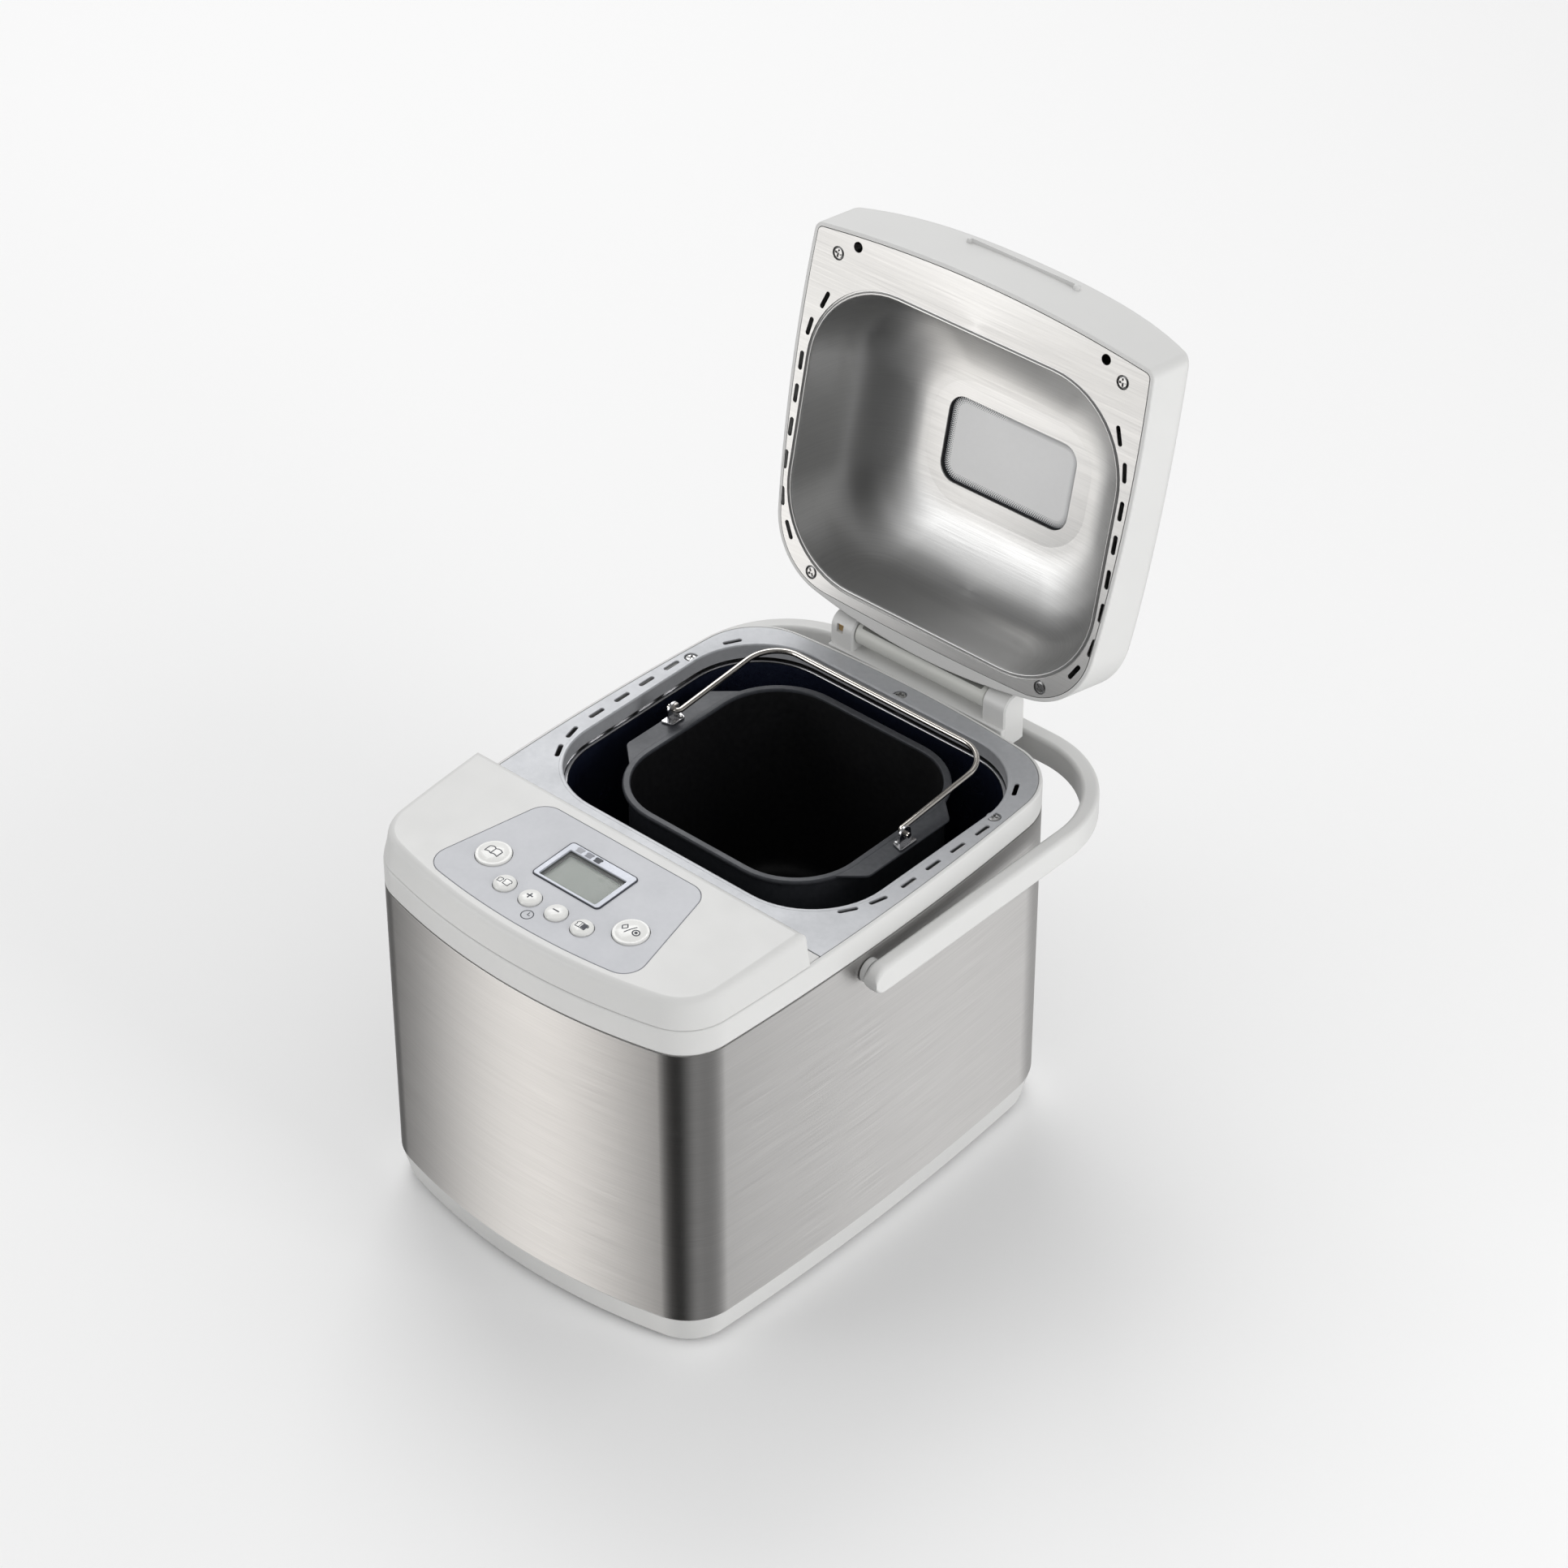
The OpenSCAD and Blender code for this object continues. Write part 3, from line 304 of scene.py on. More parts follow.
def console_top(y):
    return CONSOLE_REAR_Z + (y - CONSOLE_REAR_Y) * math.tan(CONSOLE_SLOPE)


# ---- Placing ----
IN_BODY = Matrix.Translation((0, body_y, 0))
LID_OPEN = (Matrix.Translation(hinge_at) @ Matrix.Rotation(lid_turn, 4, "X")
            @ Matrix.Translation(-hinge_at))
IN_LID = LID_OPEN @ IN_BODY
ON_CONSOLE = (IN_BODY @ Matrix.Translation((0, CONSOLE_REAR_Y, CONSOLE_REAR_Z))
              @ Matrix.Rotation(CONSOLE_SLOPE, 4, "X"))
UPRIGHT = Matrix.Identity(4)


def along_x(y, z):
    """Frame whose z axis runs along x through (y, z); its own x points down and its y stays y."""
    return Matrix.Translation((0, y, z)) @ Matrix.Rotation(math.pi / 2, 4, "Y")


def along_y(x, z):
    """Frame whose z axis runs along y through (x, z)."""
    return Matrix.Translation((x, 0, z)) @ Matrix.Rotation(-math.pi / 2, 4, "X")


class Shape:
    """Vertices and faces of one piece, in millimetres in its own axes."""

    def __init__(self, place=UPRIGHT):
        self.bm = bmesh.new()
        self.place = place

    def ring(self, points):
        return [self.bm.verts.new(self.place @ Vector(p)) for p in points]

    def face(self, verts, mat=0):
        face = self.bm.faces.new(verts)
        face.material_index = mat
        return face

    def skin(self, rings, loop=False, start=False, end=False, mat=0):
        """Quads between rings of points.

        loop joins the last ring to the first; start and end cap them.
        """
        made = [self.ring(r) for r in rings]
        n = len(made[0])
        pairs = list(zip(made, made[1:])) + ([(made[-1], made[0])] if loop else [])
        for low, high in pairs:
            for i in range(n):
                j = (i + 1) % n
                self.face((low[i], low[j], high[j], high[i]), mat)
        if start:
            self.face(made[0][::-1], mat)
        if end:
            self.face(made[-1], mat)
        return made

    def around(self, ring_at, section, **options):
        """A section of (inset, z) points carried round an outline given by ring_at(inset)."""
        self.skin([lifted(ring_at(i), z) for i, z in section], **options)

    def lathe(self, at, section, n=48, **options):
        self.skin([lifted(circle(at, max(r, 0.01), n), z) for r, z in section], **options)

    def prism(self, ring, levels):
        """Closed solid with the ring as its section."""
        self.skin([lifted(ring, z) for z in levels], start=True, end=True)

    def plate(self, outer, holes, z0, z1, bevel=0.2, mat=0):
        """Flat plate with holes and bevelled edges."""
        rims, points, edges = [], [], []
        for k, ring in enumerate([outer, *holes]):
            ring = anticlockwise(ring)
            rim = shrunk(ring, -bevel if k else bevel) if bevel else ring
            levels = [(rim, z0), (ring, z0 + bevel), (ring, z1 - bevel), (rim, z1)]
            self.skin([lifted(level, z) for level, z in (levels if bevel else levels[::3])],
                mat=mat)
            rims.append(rim)
            first = len(points)
            points += [Vector(p) for p in rim]
            edges += [(i, i + 1) for i in range(first, len(points) - 1)] + [(len(points) - 1,
                first)]
        flat, triangles = delaunay_2d_cdt(points, edges, [], 1, 0.00001)[0:3:2]
        middles = [sum((flat[i] for i in t), Vector((0, 0))) / 3 for t in triangles]
        kept = [t for t, middle in zip(triangles, middles)
            if not any(inside(middle, rim) for rim in rims[1:])]
        for z in (z0, z1):
            verts = self.ring(lifted(flat, z))
            for triangle in kept:
                self.face([verts[i] for i in triangle], mat)

    def block(self, x, y, z, bevel=0.4, mat=0):
        """Box with bevelled edges."""
        part = bmesh.new()
        bmesh.ops.create_cube(part, size=1)
        size = Vector((x[1] - x[0], y[1] - y[0], z[1] - z[0]))
        middle = Vector((x[0] + x[1], y[0] + y[1], z[0] + z[1])) / 2
        bmesh.ops.transform(part, matrix=Matrix.Translation(middle) @ Matrix.Diagonal((*size, 1)),
                            verts=part.verts)
        bmesh.ops.bevel(part, geom=part.edges[:], offset=bevel, segments=3, affect="EDGES",
            profile=0.5)
        bmesh.ops.transform(part, matrix=self.place, verts=part.verts)
        for face in part.faces:
            face.material_index = mat
        mesh = bpy.data.meshes.new("part")
        part.to_mesh(mesh)
        part.free()
        self.bm.from_mesh(mesh)
        bpy.data.meshes.remove(mesh)

    def tube(self, path, section, up=Vector((0, 0, 1)), mat=0):
        """A section(i, t) of (side, up) points carried along a path of points."""
        path = [Vector(p) for p in path]
        rings = []
        for i, p in enumerate(path):
            along = (path[min(i + 1, len(path) - 1)] - path[max(i - 1, 0)]).normalized()
            side = along.cross(up).normalized()
            top = side.cross(along)
            rings.append([p + side * a + top * b for a, b in section(i, i / (len(path) - 1))])
        self.skin(rings, start=True, end=True, mat=mat)

    def stroke(self, path, width, height, mat):
        """Flat printed line along a path."""
        w, h = width / 2, height / 2
        self.tube(path, lambda i, t: [(-w, -h), (w, -h), (w, h), (-w, h)], mat=mat)

    def make(self, name, body, slot, nodes, place=IN_BODY, sharp=35, main=None, extra=()):
        """Turns the shape into a piece that rides a body and stands for CAD nodes.

        Its material is its slot's own, unless main is given; extra ones follow it.
        """
        bmesh.ops.remove_doubles(self.bm, verts=self.bm.verts, dist=0.0005)
        bmesh.ops.recalc_face_normals(self.bm, faces=self.bm.faces)
        mesh = bpy.data.meshes.new(name)
        self.bm.to_mesh(mesh)
        self.bm.free()
        mesh.transform(Matrix.Scale(MM, 4) @ place)
        piece = bpy.data.objects.new(name, mesh)
        bpy.context.scene.collection.objects.link(piece)
        for mat in (main or MATERIALS[slot], *extra):
            mesh.materials.append(mat)
        smooth_edges(mesh, sharp)
        even_normals(piece)
        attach(piece, body)
        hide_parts(*nodes)
        return piece


def smooth_edges(mesh, sharp):
    """Shades the mesh smooth, apart from edges that turn by more than sharp degrees."""
    part = bmesh.new()
    part.from_mesh(mesh)
    for face in part.faces:
        face.smooth = True
    for edge in part.edges:
        edge.smooth = len(edge.link_faces) == 2 and edge.calc_face_angle() < math.radians(sharp)
    part.to_mesh(mesh)
    part.free()


def even_normals(piece):
    """Keeps large flat faces flat where they meet rounded edges."""
    normals = piece.modifiers.new("normals", "WEIGHTED_NORMAL")
    normals.keep_sharp = True


def carve(piece, cutter_shape, place=IN_BODY, sharp=35):
    """Cuts a shape's volume out of a piece."""
    mesh = bpy.data.meshes.new("cutter")
    bmesh.ops.recalc_face_normals(cutter_shape.bm, faces=cutter_shape.bm.faces)
    cutter_shape.bm.to_mesh(mesh)
    cutter_shape.bm.free()
    mesh.transform(Matrix.Scale(MM, 4) @ place)
    cutter = bpy.data.objects.new("cutter", mesh)
    bpy.context.scene.collection.objects.link(cutter)
    piece.modifiers.clear()
    change = piece.modifiers.new("cut", "BOOLEAN")
    change.operation, change.solver, change.object = "DIFFERENCE", "EXACT", cutter
    change.use_self = True
    graph = bpy.context.evaluated_depsgraph_get()
    result = bpy.data.meshes.new_from_object(piece.evaluated_get(graph))
    piece.modifiers.clear()
    old, piece.data = piece.data, result
    result.name = piece.name
    bpy.data.meshes.remove(old)
    bpy.data.objects.remove(cutter)
    bpy.data.meshes.remove(mesh)
    smooth_edges(piece.data, sharp)
    even_normals(piece)


# ---- Materials ----
class Nodes:
    """Node tree of one material: a Principled shader and the textures that drive it."""

    def __init__(self, name, colour, rough, metal=0.0, **sockets):
        self.mat = bpy.data.materials.new(name)
        self.mat.use_nodes = True
        self.tree = self.mat.node_tree
        self.shader = self.tree.nodes["Principled BSDF"]
        self.colour, self.rough = (*colour, 1), rough
        self.shader.inputs["Base Color"].default_value = self.colour
        self.shader.inputs["Roughness"].default_value = rough
        self.shader.inputs["Metallic"].default_value = metal
        for key, value in sockets.items():
            self.shader.inputs[key.replace("_", " ").title()].default_value = value
        self.place = self.node("ShaderNodeTexCoord").outputs["Object"]

    def node(self, kind, **values):
        made = self.tree.nodes.new(kind)
        for key, value in values.items():
            setattr(made, key, value)
        return made

    def link(self, a, b):
        self.tree.links.new(a, b)

    def noise(self, scale, stretch=(1, 1, 1), detail=4.0):
        """Noise with features of about 1/scale metres, squeezed along the axes by stretch."""
        mapping = self.node("ShaderNodeMapping")
        mapping.inputs["Scale"].default_value = stretch
        self.link(self.place, mapping.inputs["Vector"])
        texture = self.node("ShaderNodeTexNoise")
        texture.inputs["Scale"].default_value = scale
        texture.inputs["Detail"].default_value = detail
        self.link(mapping.outputs["Vector"], texture.inputs["Vector"])
        return texture.outputs["Fac"]

    def ranged(self, source, low, high):
        out = self.node("ShaderNodeMapRange")
        out.inputs["From Min"].default_value = 0.3
        out.inputs["From Max"].default_value = 0.7
        out.inputs["To Min"].default_value = low
        out.inputs["To Max"].default_value = high
        self.link(source, out.inputs["Value"])
        return out.outputs["Result"]

    def tint(self, source, other):
        """Colour between the base colour and another, by the source."""
        mix = self.node("ShaderNodeMix", data_type="RGBA")
        self.link(self.ranged(source, 0.0, 1.0), mix.inputs["Factor"])
        mix.inputs["A"].default_value = self.colour
        mix.inputs["B"].default_value = (*other, 1)
        self.link(mix.outputs["Result"], self.shader.inputs["Base Color"])

    def vary_rough(self, source, spread):
        self.link(self.ranged(source, self.rough - spread, self.rough + spread),
            self.shader.inputs["Roughness"])

    def bump(self, source, height):
        bump = self.node("ShaderNodeBump")
        bump.inputs["Strength"].default_value = 1.0
        bump.inputs["Distance"].default_value = height
        self.link(source, bump.inputs["Height"])
        self.link(bump.outputs["Normal"], self.shader.inputs["Normal"])


def moulded(name, colour, rough, grain=1400, height=0.00002, shade=0.97, **sockets):
    """Moulded plastic with a fine spark-eroded grain and slight clouding."""
    made = Nodes(name, colour, rough, **sockets)
    made.tint(made.noise(14), tuple(c * shade for c in colour))
    grain_noise = made.noise(grain, detail=2.0)
    made.vary_rough(made.noise(60), 0.04)
    made.bump(grain_noise, height)
    return made.mat


def brushed(name, colour, rough, fine=3000, height=0.000006, shade=0.93, anisotropic=0.8):
    """Metal brushed level all round, with faint streaks of colour and roughness."""
    level = (0.008, 0.008, 1)
    made = Nodes(name, colour, rough, 1.0, anisotropic=anisotropic, anisotropic_rotation=0.25)
    streaks = made.noise(fine, level, 3.0)
    made.tint(made.noise(fine / 2, level, 4.0), tuple(c * shade for c in colour))
    made.vary_rough(streaks, 0.05)
    made.bump(streaks, height)
    tangent = made.node("ShaderNodeTangent", direction_type="RADIAL", axis="Z")
    made.link(tangent.outputs["Tangent"], made.shader.inputs["Tangent"])
    return made.mat


def coated(name, colour, rough, metal=0.0, speck=None, grain=900, height=0.00002):
    """Paint or coating with orange peel and a scatter of slightly different specks."""
    made = Nodes(name, colour, rough, metal)
    made.tint(made.noise(320, detail=6.0), speck or tuple(c * 0.8 for c in colour))
    made.vary_rough(made.noise(45), 0.05)
    made.bump(made.noise(grain, detail=2.0), height)
    return made.mat


def polished(name, colour, rough):
    """Bright metal with faint handling marks."""
    made = Nodes(name, colour, rough, 1.0)
    made.tint(made.noise(70, detail=6.0), tuple(c * 0.88 for c in colour))
    made.vary_rough(made.noise(180, (1, 1, 0.2), 8.0), 0.04)
    made.bump(made.noise(500, detail=3.0), 0.000008)
    return made.mat


def clear(name, colour, rough, alpha):
    """Glass or clear plastic with a hint of surface ripple."""
    made = Nodes(name, colour, rough, alpha=alpha)
    made.vary_rough(made.noise(90), 0.03)
    made.bump(made.noise(120), 0.00001)
    return made.mat


MATERIALS = {"white_plastic": moulded("white_plastic", (0.69, 0.69, 0.68), 0.34),
    "deck_paint": coated("deck_paint", (0.47, 0.48, 0.50), 0.36, 0.3, (0.43, 0.44, 0.46)),
    "brushed_wrap": brushed("brushed_wrap", (0.62, 0.61, 0.60), 0.42),
    "lid_metal": brushed("lid_metal", (0.70, 0.70, 0.695), 0.4, height=0.00001, anisotropic=0.3),
    "screw_metal": polished("screw_metal", (0.62, 0.62, 0.62), 0.28),
    "rubber_black": coated("rubber_black", (0.025, 0.025, 0.026), 0.62),
    "foot_rubber": coated("foot_rubber", (0.09, 0.09, 0.09), 0.7),
    "oven_coating": coated("oven_coating", (0.008, 0.010, 0.022), 0.24, 0.1, (0.014, 0.018, 0.034)),
    "element_metal": polished("element_metal", (0.20, 0.19, 0.18), 0.42),
    "plain_steel": polished("plain_steel", (0.56, 0.56, 0.57), 0.3),
    "ceramic_white": coated("ceramic_white", (0.80, 0.77, 0.70), 0.5),
    "bronze": polished("bronze", (0.50, 0.34, 0.16), 0.38),
    "motor_paint": coated("motor_paint", (0.13, 0.15, 0.17), 0.4, 0.4),
    "board_green": coated("board_green", (0.02, 0.12, 0.05), 0.38, speck=(0.05, 0.20, 0.09)),
    "grey_plastic": moulded("grey_plastic", (0.13, 0.135, 0.145), 0.5, shade=0.85),
    "overlay_film": coated("overlay_film", (0.53, 0.54, 0.57), 0.34, speck=(0.51, 0.52, 0.55),
    height=0.000006), "frame_silver": coated("frame_silver", (0.48, 0.50, 0.55), 0.3, 0.2,
    (0.45, 0.47, 0.52), height=0.000005), "clear_lens": clear("clear_lens", (0.85, 0.88, 0.86),
    0.06, 0.1), "lcd_glass": coated("lcd_glass", (0.18, 0.21, 0.18), 0.3, speck=(0.16, 0.19, 0.16),
    height=0.000003), "window_glass": coated("window_glass", (0.96, 0.96, 0.96), 0.4,
    speck=(0.94, 0.94, 0.94), grain=2200), "gasket_dark": coated("gasket_dark", (0.03, 0.03, 0.032),
    0.5), "non_stick": coated("non_stick", (0.040, 0.043, 0.050), 0.4, 0.25, (0.055, 0.058, 0.066),
    height=0.00003), "cast_grey": coated("cast_grey", (0.34, 0.35, 0.36), 0.45, 0.8,
    height=0.00006), "bright_chrome": polished("bright_chrome", (0.78, 0.74, 0.69), 0.14),
    "pearl_plastic": moulded("pearl_plastic", (0.82, 0.82, 0.80), 0.22, height=0.000006,
    coat_weight=0.4), }
ink = coated("symbol_ink", (0.045, 0.05, 0.065), 0.5, speck=(0.06, 0.065, 0.08))
print_line = coated("print_line", (0.16, 0.17, 0.20), 0.45)
bright_edge = polished("bright_edge", (0.70, 0.70, 0.72), 0.2)
# Off-white plastic of the hinge arm; its darker grey-green is painted shade for the arm's shadowed channel.
arm_plastic_painted_shade = moulded("arm_plastic_painted_shade", (0.66, 0.665, 0.63), 0.42)
pan_inside = coated("pan_inside", (0.006, 0.006, 0.007), 0.5, 0.2, (0.012, 0.012, 0.013),
    height=0.00003)
icon_light = coated("icon_light", (0.40, 0.41, 0.45), 0.4)
icon_mid = coated("icon_mid", (0.25, 0.26, 0.30), 0.4)

for row in frame["record"]["subparts"]:
    cad = frame["nodes"][row["node"]]
    cad.data.materials.clear()
    cad.data.materials.append(MATERIALS[row["material_slot"]])


# ---- Camera, lights and floor ----
def add_camera():
    """Camera at the photograph's viewing angle."""
    azimuth, elevation = math.radians(41.839), math.radians(37.027)
    back = Vector((math.sin(azimuth) * math.cos(elevation),
        -math.cos(azimuth) * math.cos(elevation), math.sin(elevation)))
    data = bpy.data.cameras.new("camera")
    data.lens, data.sensor_width = 108.71, 36
    camera = bpy.data.objects.new("camera", data)
    camera.location = Vector((1346.78, body_y - 1491.09, 1731.92)) * MM
    camera.rotation_euler = back.to_track_quat("Z", "Y").to_euler()
    data.clip_end = 50
    bpy.context.scene.collection.objects.link(camera)
    bpy.context.scene.camera = camera


def add_light(name, at, target, size, power, mirrored=True):
    data = bpy.data.lights.new(name, "AREA")
    data.shape, data.size, data.size_y = "RECTANGLE", size[0], size[1]
    data.energy = power
    lamp = bpy.data.objects.new(name, data)
    lamp.location = at
    lamp.rotation_euler = (Vector(at) - Vector(target)).to_track_quat("Z", "Y").to_euler()
    lamp.visible_glossy = mirrored
    bpy.context.scene.collection.objects.link(lamp)


def grey(value):
    return value, value, value, 1


def joined(tree, kind, sockets, **values):
    """New node with its inputs linked or set, in order of (name or number, value)."""
    node = tree.nodes.new(kind)
    for key, value in values.items():
        setattr(node, key, value)
    for key, value in sockets:
        if isinstance(value, bpy.types.NodeSocket):
            tree.links.new(value, node.inputs[key])
        else:
            node.inputs[key].default_value = value
    return node


def blend(tree, factor, a, b):
    return joined(tree, "ShaderNodeMix", (("Factor", factor), (6, a), (7, b)),
        data_type="RGBA").outputs[2]


def round_ramp(tree, source, stops):
    """Colour by the angle round the z axis, counted in degrees from the front towards the right."""
    parts = joined(tree, "ShaderNodeSeparateXYZ", (("Vector", source),)).outputs
    front = joined(tree, "ShaderNodeMath", ((0, parts["Y"]), (1, -1.0)),
        operation="MULTIPLY").outputs[0]
    turn = joined(tree, "ShaderNodeMath", ((0, parts["X"]), (1, front)),
        operation="ARCTAN2").outputs[0]
    share = joined(tree, "ShaderNodeMath", ((0, turn), (1, 1 / math.tau), (2, 0.5)),
        operation="MULTIPLY_ADD")
    ramp = joined(tree, "ShaderNodeValToRGB", (("Fac", share.outputs[0]),))
    ramp.color_ramp.interpolation = "EASE"
    while len(ramp.color_ramp.elements) < len(stops):
        ramp.color_ramp.elements.new(0.5)
    for element, (angle, value) in zip(ramp.color_ramp.elements, stops):
        element.position = (angle + 180) / 360
        element.color = (*value, 1) if isinstance(value, tuple) else grey(value)
    return ramp.outputs["Color"]


def add_world(backdrop, ambient, low, walls, ceiling):
    """Even studio. Direct reflections see surroundings whose brightness changes round it."""
    world = bpy.data.worlds.new("studio")
    bpy.context.scene.world = world
    world.use_nodes = True
    tree = world.node_tree
    way = tree.nodes.new("ShaderNodeTexCoord").outputs["Generated"]
    up = joined(tree, "ShaderNodeSeparateXYZ", (("Vector", way),)).outputs["Z"]
    above = joined(tree, "ShaderNodeMapRange", (("Value", up), ("From Min", -0.15),
        ("From Max", 0.15))).outputs[0]
    height = joined(tree, "ShaderNodeMapRange", (("Value", up), ("From Min", 0.35),
        ("From Max", 0.85))).outputs[0]
    round_walls = blend(tree, above, round_ramp(tree, way, low), round_ramp(tree, way, walls))
    mirrored = blend(tree, height, round_walls, grey(ceiling))
    rays = tree.nodes.new("ShaderNodeLightPath").outputs
    around = blend(tree, rays["Is Glossy Ray"], grey(ambient), grey(0.1))
    seen = blend(tree, rays["Is Camera Ray"], around, grey(backdrop))
    direct = joined(tree, "ShaderNodeMath", ((0, rays["Is Glossy Ray"]),
        (1, rays["Diffuse Depth"])), operation="SUBTRACT", use_clamp=True).outputs[0]
    tree.links.new(blend(tree, direct, seen, mirrored), tree.nodes["Background"].inputs["Color"])


def add_floor():
    """Plain pale floor, which reflections leave out."""
    mesh = bpy.data.meshes.new("floor")
    reach = 6.0
    mesh.from_pydata([(-reach, -reach, 0), (reach, -reach, 0), (reach, reach, 0),
        (-reach, reach, 0)], [], [(0, 1, 2, 3)])
    floor = bpy.data.objects.new("floor", mesh)
    bpy.context.scene.collection.objects.link(floor)
    mesh.materials.append(coated("floor_white", (0.96, 0.96, 0.96), 0.9,
        speck=(0.955, 0.955, 0.955)))
    floor.visible_glossy = False


def add_studio():
    bpy.context.scene.view_settings.view_transform = "Standard"
    low = [(-180, 0.6), (-120, 0.5), (-80, 0.02), (-65, 0.12), (-54, 0.8), (-42, (1.7, 1.65, 1.58)),
        (-28, (1.72, 1.66, 1.6)), (-16, 0.45), (-4, 0.1), (6, 0.0), (14, 0.0), (32, 0.0),
        (46, 0.15), (60, 0.35), (80, 0.25), (100, 0.2), (116, 0.38), (128, 0.9), (138, 1.75),
        (154, 0.7), (180, 0.5)]
    walls = [(-180, 0.4), (-150, 1.2), (-120, 1.2), (-95, 0.2), (-70, 0.05), (-55, 0.3), (-42, 1.1),
        (-25, 1.1), (-10, 0.3), (5, 0.0), (32, 0.0), (48, 0.15), (75, 0.25), (110, 0.4), (130, 0.5),
        (150, 0.1), (170, 0.1), (180, 0.3)]
    add_world(0.945, 0.66, low, walls, 0.2)
    add_floor()
    middle = (0, 0, 0.2)
    add_light("key", (-1.5, 1.1, 2.2), middle, (1.4, 1.4), 19)
    add_light("front", (-1.3, -1.9, 0.9), middle, (1.1, 1.0), 6)
    add_light("side", (2.0, 0.1, 0.8), middle, (0.8, 1.2), 15, False)


# ---- Body ----
def screw_head(shape, r, height, shank_r, shank_l):
    """Pan head with its seat at z = 0."""
    shape.lathe((0, 0), profile([(0, -shank_l, 0), (shank_r, -shank_l, 0.4), (shank_r, 0, 0),
        (r, 0, 0.1), (r, height * 0.55, 0.4), (r * 0.72, height, 0.5), (0, height, 0)], 4, False),
        n=36)


def cross_recess(r, height):
    """Cutter for a cross recess."""
    arm, half = r * 0.62, r * 0.17
    ring = [(half, -arm), (half, -half), (arm, -half), (arm, half), (half, half), (half, arm)]
    ring += [(-x, -y) for x, y in ring]
    cut = Shape()
    cut.skin([[(x, y, height * 0.3) for x, y in ring], [(x * 1.1, y * 1.1, height + 1) for x,
        y in ring]], start=True, end=True)
    return cut


def add_screws(name, node, body, frames, r, height, shank_r, shank_l, place):
    for i, at in enumerate(frames):
        head = Shape()
        screw_head(head, r, height, shank_r, shank_l)
        piece = head.make(f"{name}_{i + 1}", body, "screw_metal", [node], place @ at)
        carve(piece, cross_recess(r, height), place @ at)


def add_tray():
    tray = Shape()
    low, top = tray_low.z, WRAP_Z0 - 0.3
    posts = [(x, y) for x in (-80, 80) for y in (-165, 85)]
    feet = [(x, y) for x in (-95, 95) for y in (-150, 70)]
    vents = [slot_ring((i * 14, 40, 90)) for i in range(-4, 5)]
    tray.plate(body_ring(7), vents + [circle(p, 9.2) for p in feet]
        + [circle(p, 2.1, 20) for p in posts], low, low + 3, 0.3)
    tray.around(body_ring, profile([(6.6, low, 0), (4.4, low, 1.6), (0.3, top, 0.5),
        (2.3, top, 0.2), (3.2, 12, 3), (6.6, low + 3, 0)]), loop=True)
    tray.around(body_ring, profile([(1.2, top - 1.4, 0), (1.2, WRAP_Z0 + 8, 0.4),
        (3.2, WRAP_Z0 + 8, 0.4), (3.2, top - 4, 0)]), loop=True)
    for p in feet:
        tray.lathe(p, [(9.2, low), (10.4, low + 3), (10.4, low + 3.6), (0, low + 3.6)])
    for p in posts:
        tray.lathe(p, profile([(2.1, low + 0.2, 0), (7.4, low + 3, 0.5), (7, tray_high.z, 0.5),
                               (2.1, tray_high.z, 0.3)]), loop=True)
    tray.make("base_moulding", "base", "white_plastic", ["base_tray"])
    for i, p in enumerate(feet):
        foot = Shape()
        foot.lathe(p, profile([(0, 0.5, 0), (5.5, 0.5, 0.3), (6.2, 0, 0.3), (8.4, 0, 0.5),
            (9, low + 0.9, 0.4), (0, low + 0.9, 0)], 4, False))
        foot.make(f"foot_{i + 1}", "base", "foot_rubber", ["rubber_feet"])
    add_screws("base_screw", "base_screws", "base", [Matrix.Translation((*p, low - 0.1))
        @ Matrix.Rotation(math.pi, 4, "X") for p in posts], 3.6, 1.8, 2, 20, IN_BODY)


def add_wrap():
    wrap = Shape()
    wrap.around(body_ring, profile([(0, WRAP_Z0, 0.35), (0, WRAP_Z1, 0.35), (WRAP_T, WRAP_Z1, 0.35),
                                    (WRAP_T, WRAP_Z0, 0.35)], 3), loop=True)
    piece = wrap.make("steel_wrap", "base", "brushed_wrap", ["outer_shell"])
    holes = Shape(along_x(PIVOT_Y, PIVOT_Z))
    for x in (-125, 110):
        holes.prism(circle((0, 0), 5.8), (x, x + 15))
    holes.place = along_y(INLET_X, INLET_Z)
    holes.prism(circle((0, 0), 6.3), (105, 125))
    carve(piece, holes)


def add_rim():
    rim = Shape()
    seat = DECK_Z - 1.8
    rim.around(body_ring, profile([(0, WRAP_Z1 + 0.9, 0.5), (0, DECK_Z, 1.5), (2, DECK_Z, 0.25),
        (2, seat, 0), (6, seat, 0.3), (6, seat - 2.5, 1), (3, seat - 4.5, 1.5),
        (3, WRAP_Z1 - 5, 0.4), (1.1, WRAP_Z1 - 5, 0.4), (1.1, WRAP_Z1 + 0.9, 0)]), loop=True)
    rim.block((-117.4, 117.4), (-99.6, -90.7), (WRAP_Z1 + 1.6, DECK_Z), 0.7)
    for p in DECK_SCREWS:
        rim.lathe(p, [(1.7, WRAP_Z1 + 7.5), (3, WRAP_Z1 + 7.5), (3, seat), (1.7, seat)], loop=True,
            n=24)
    rim.make("white_rim", "base", "white_plastic", ["top_rim"])


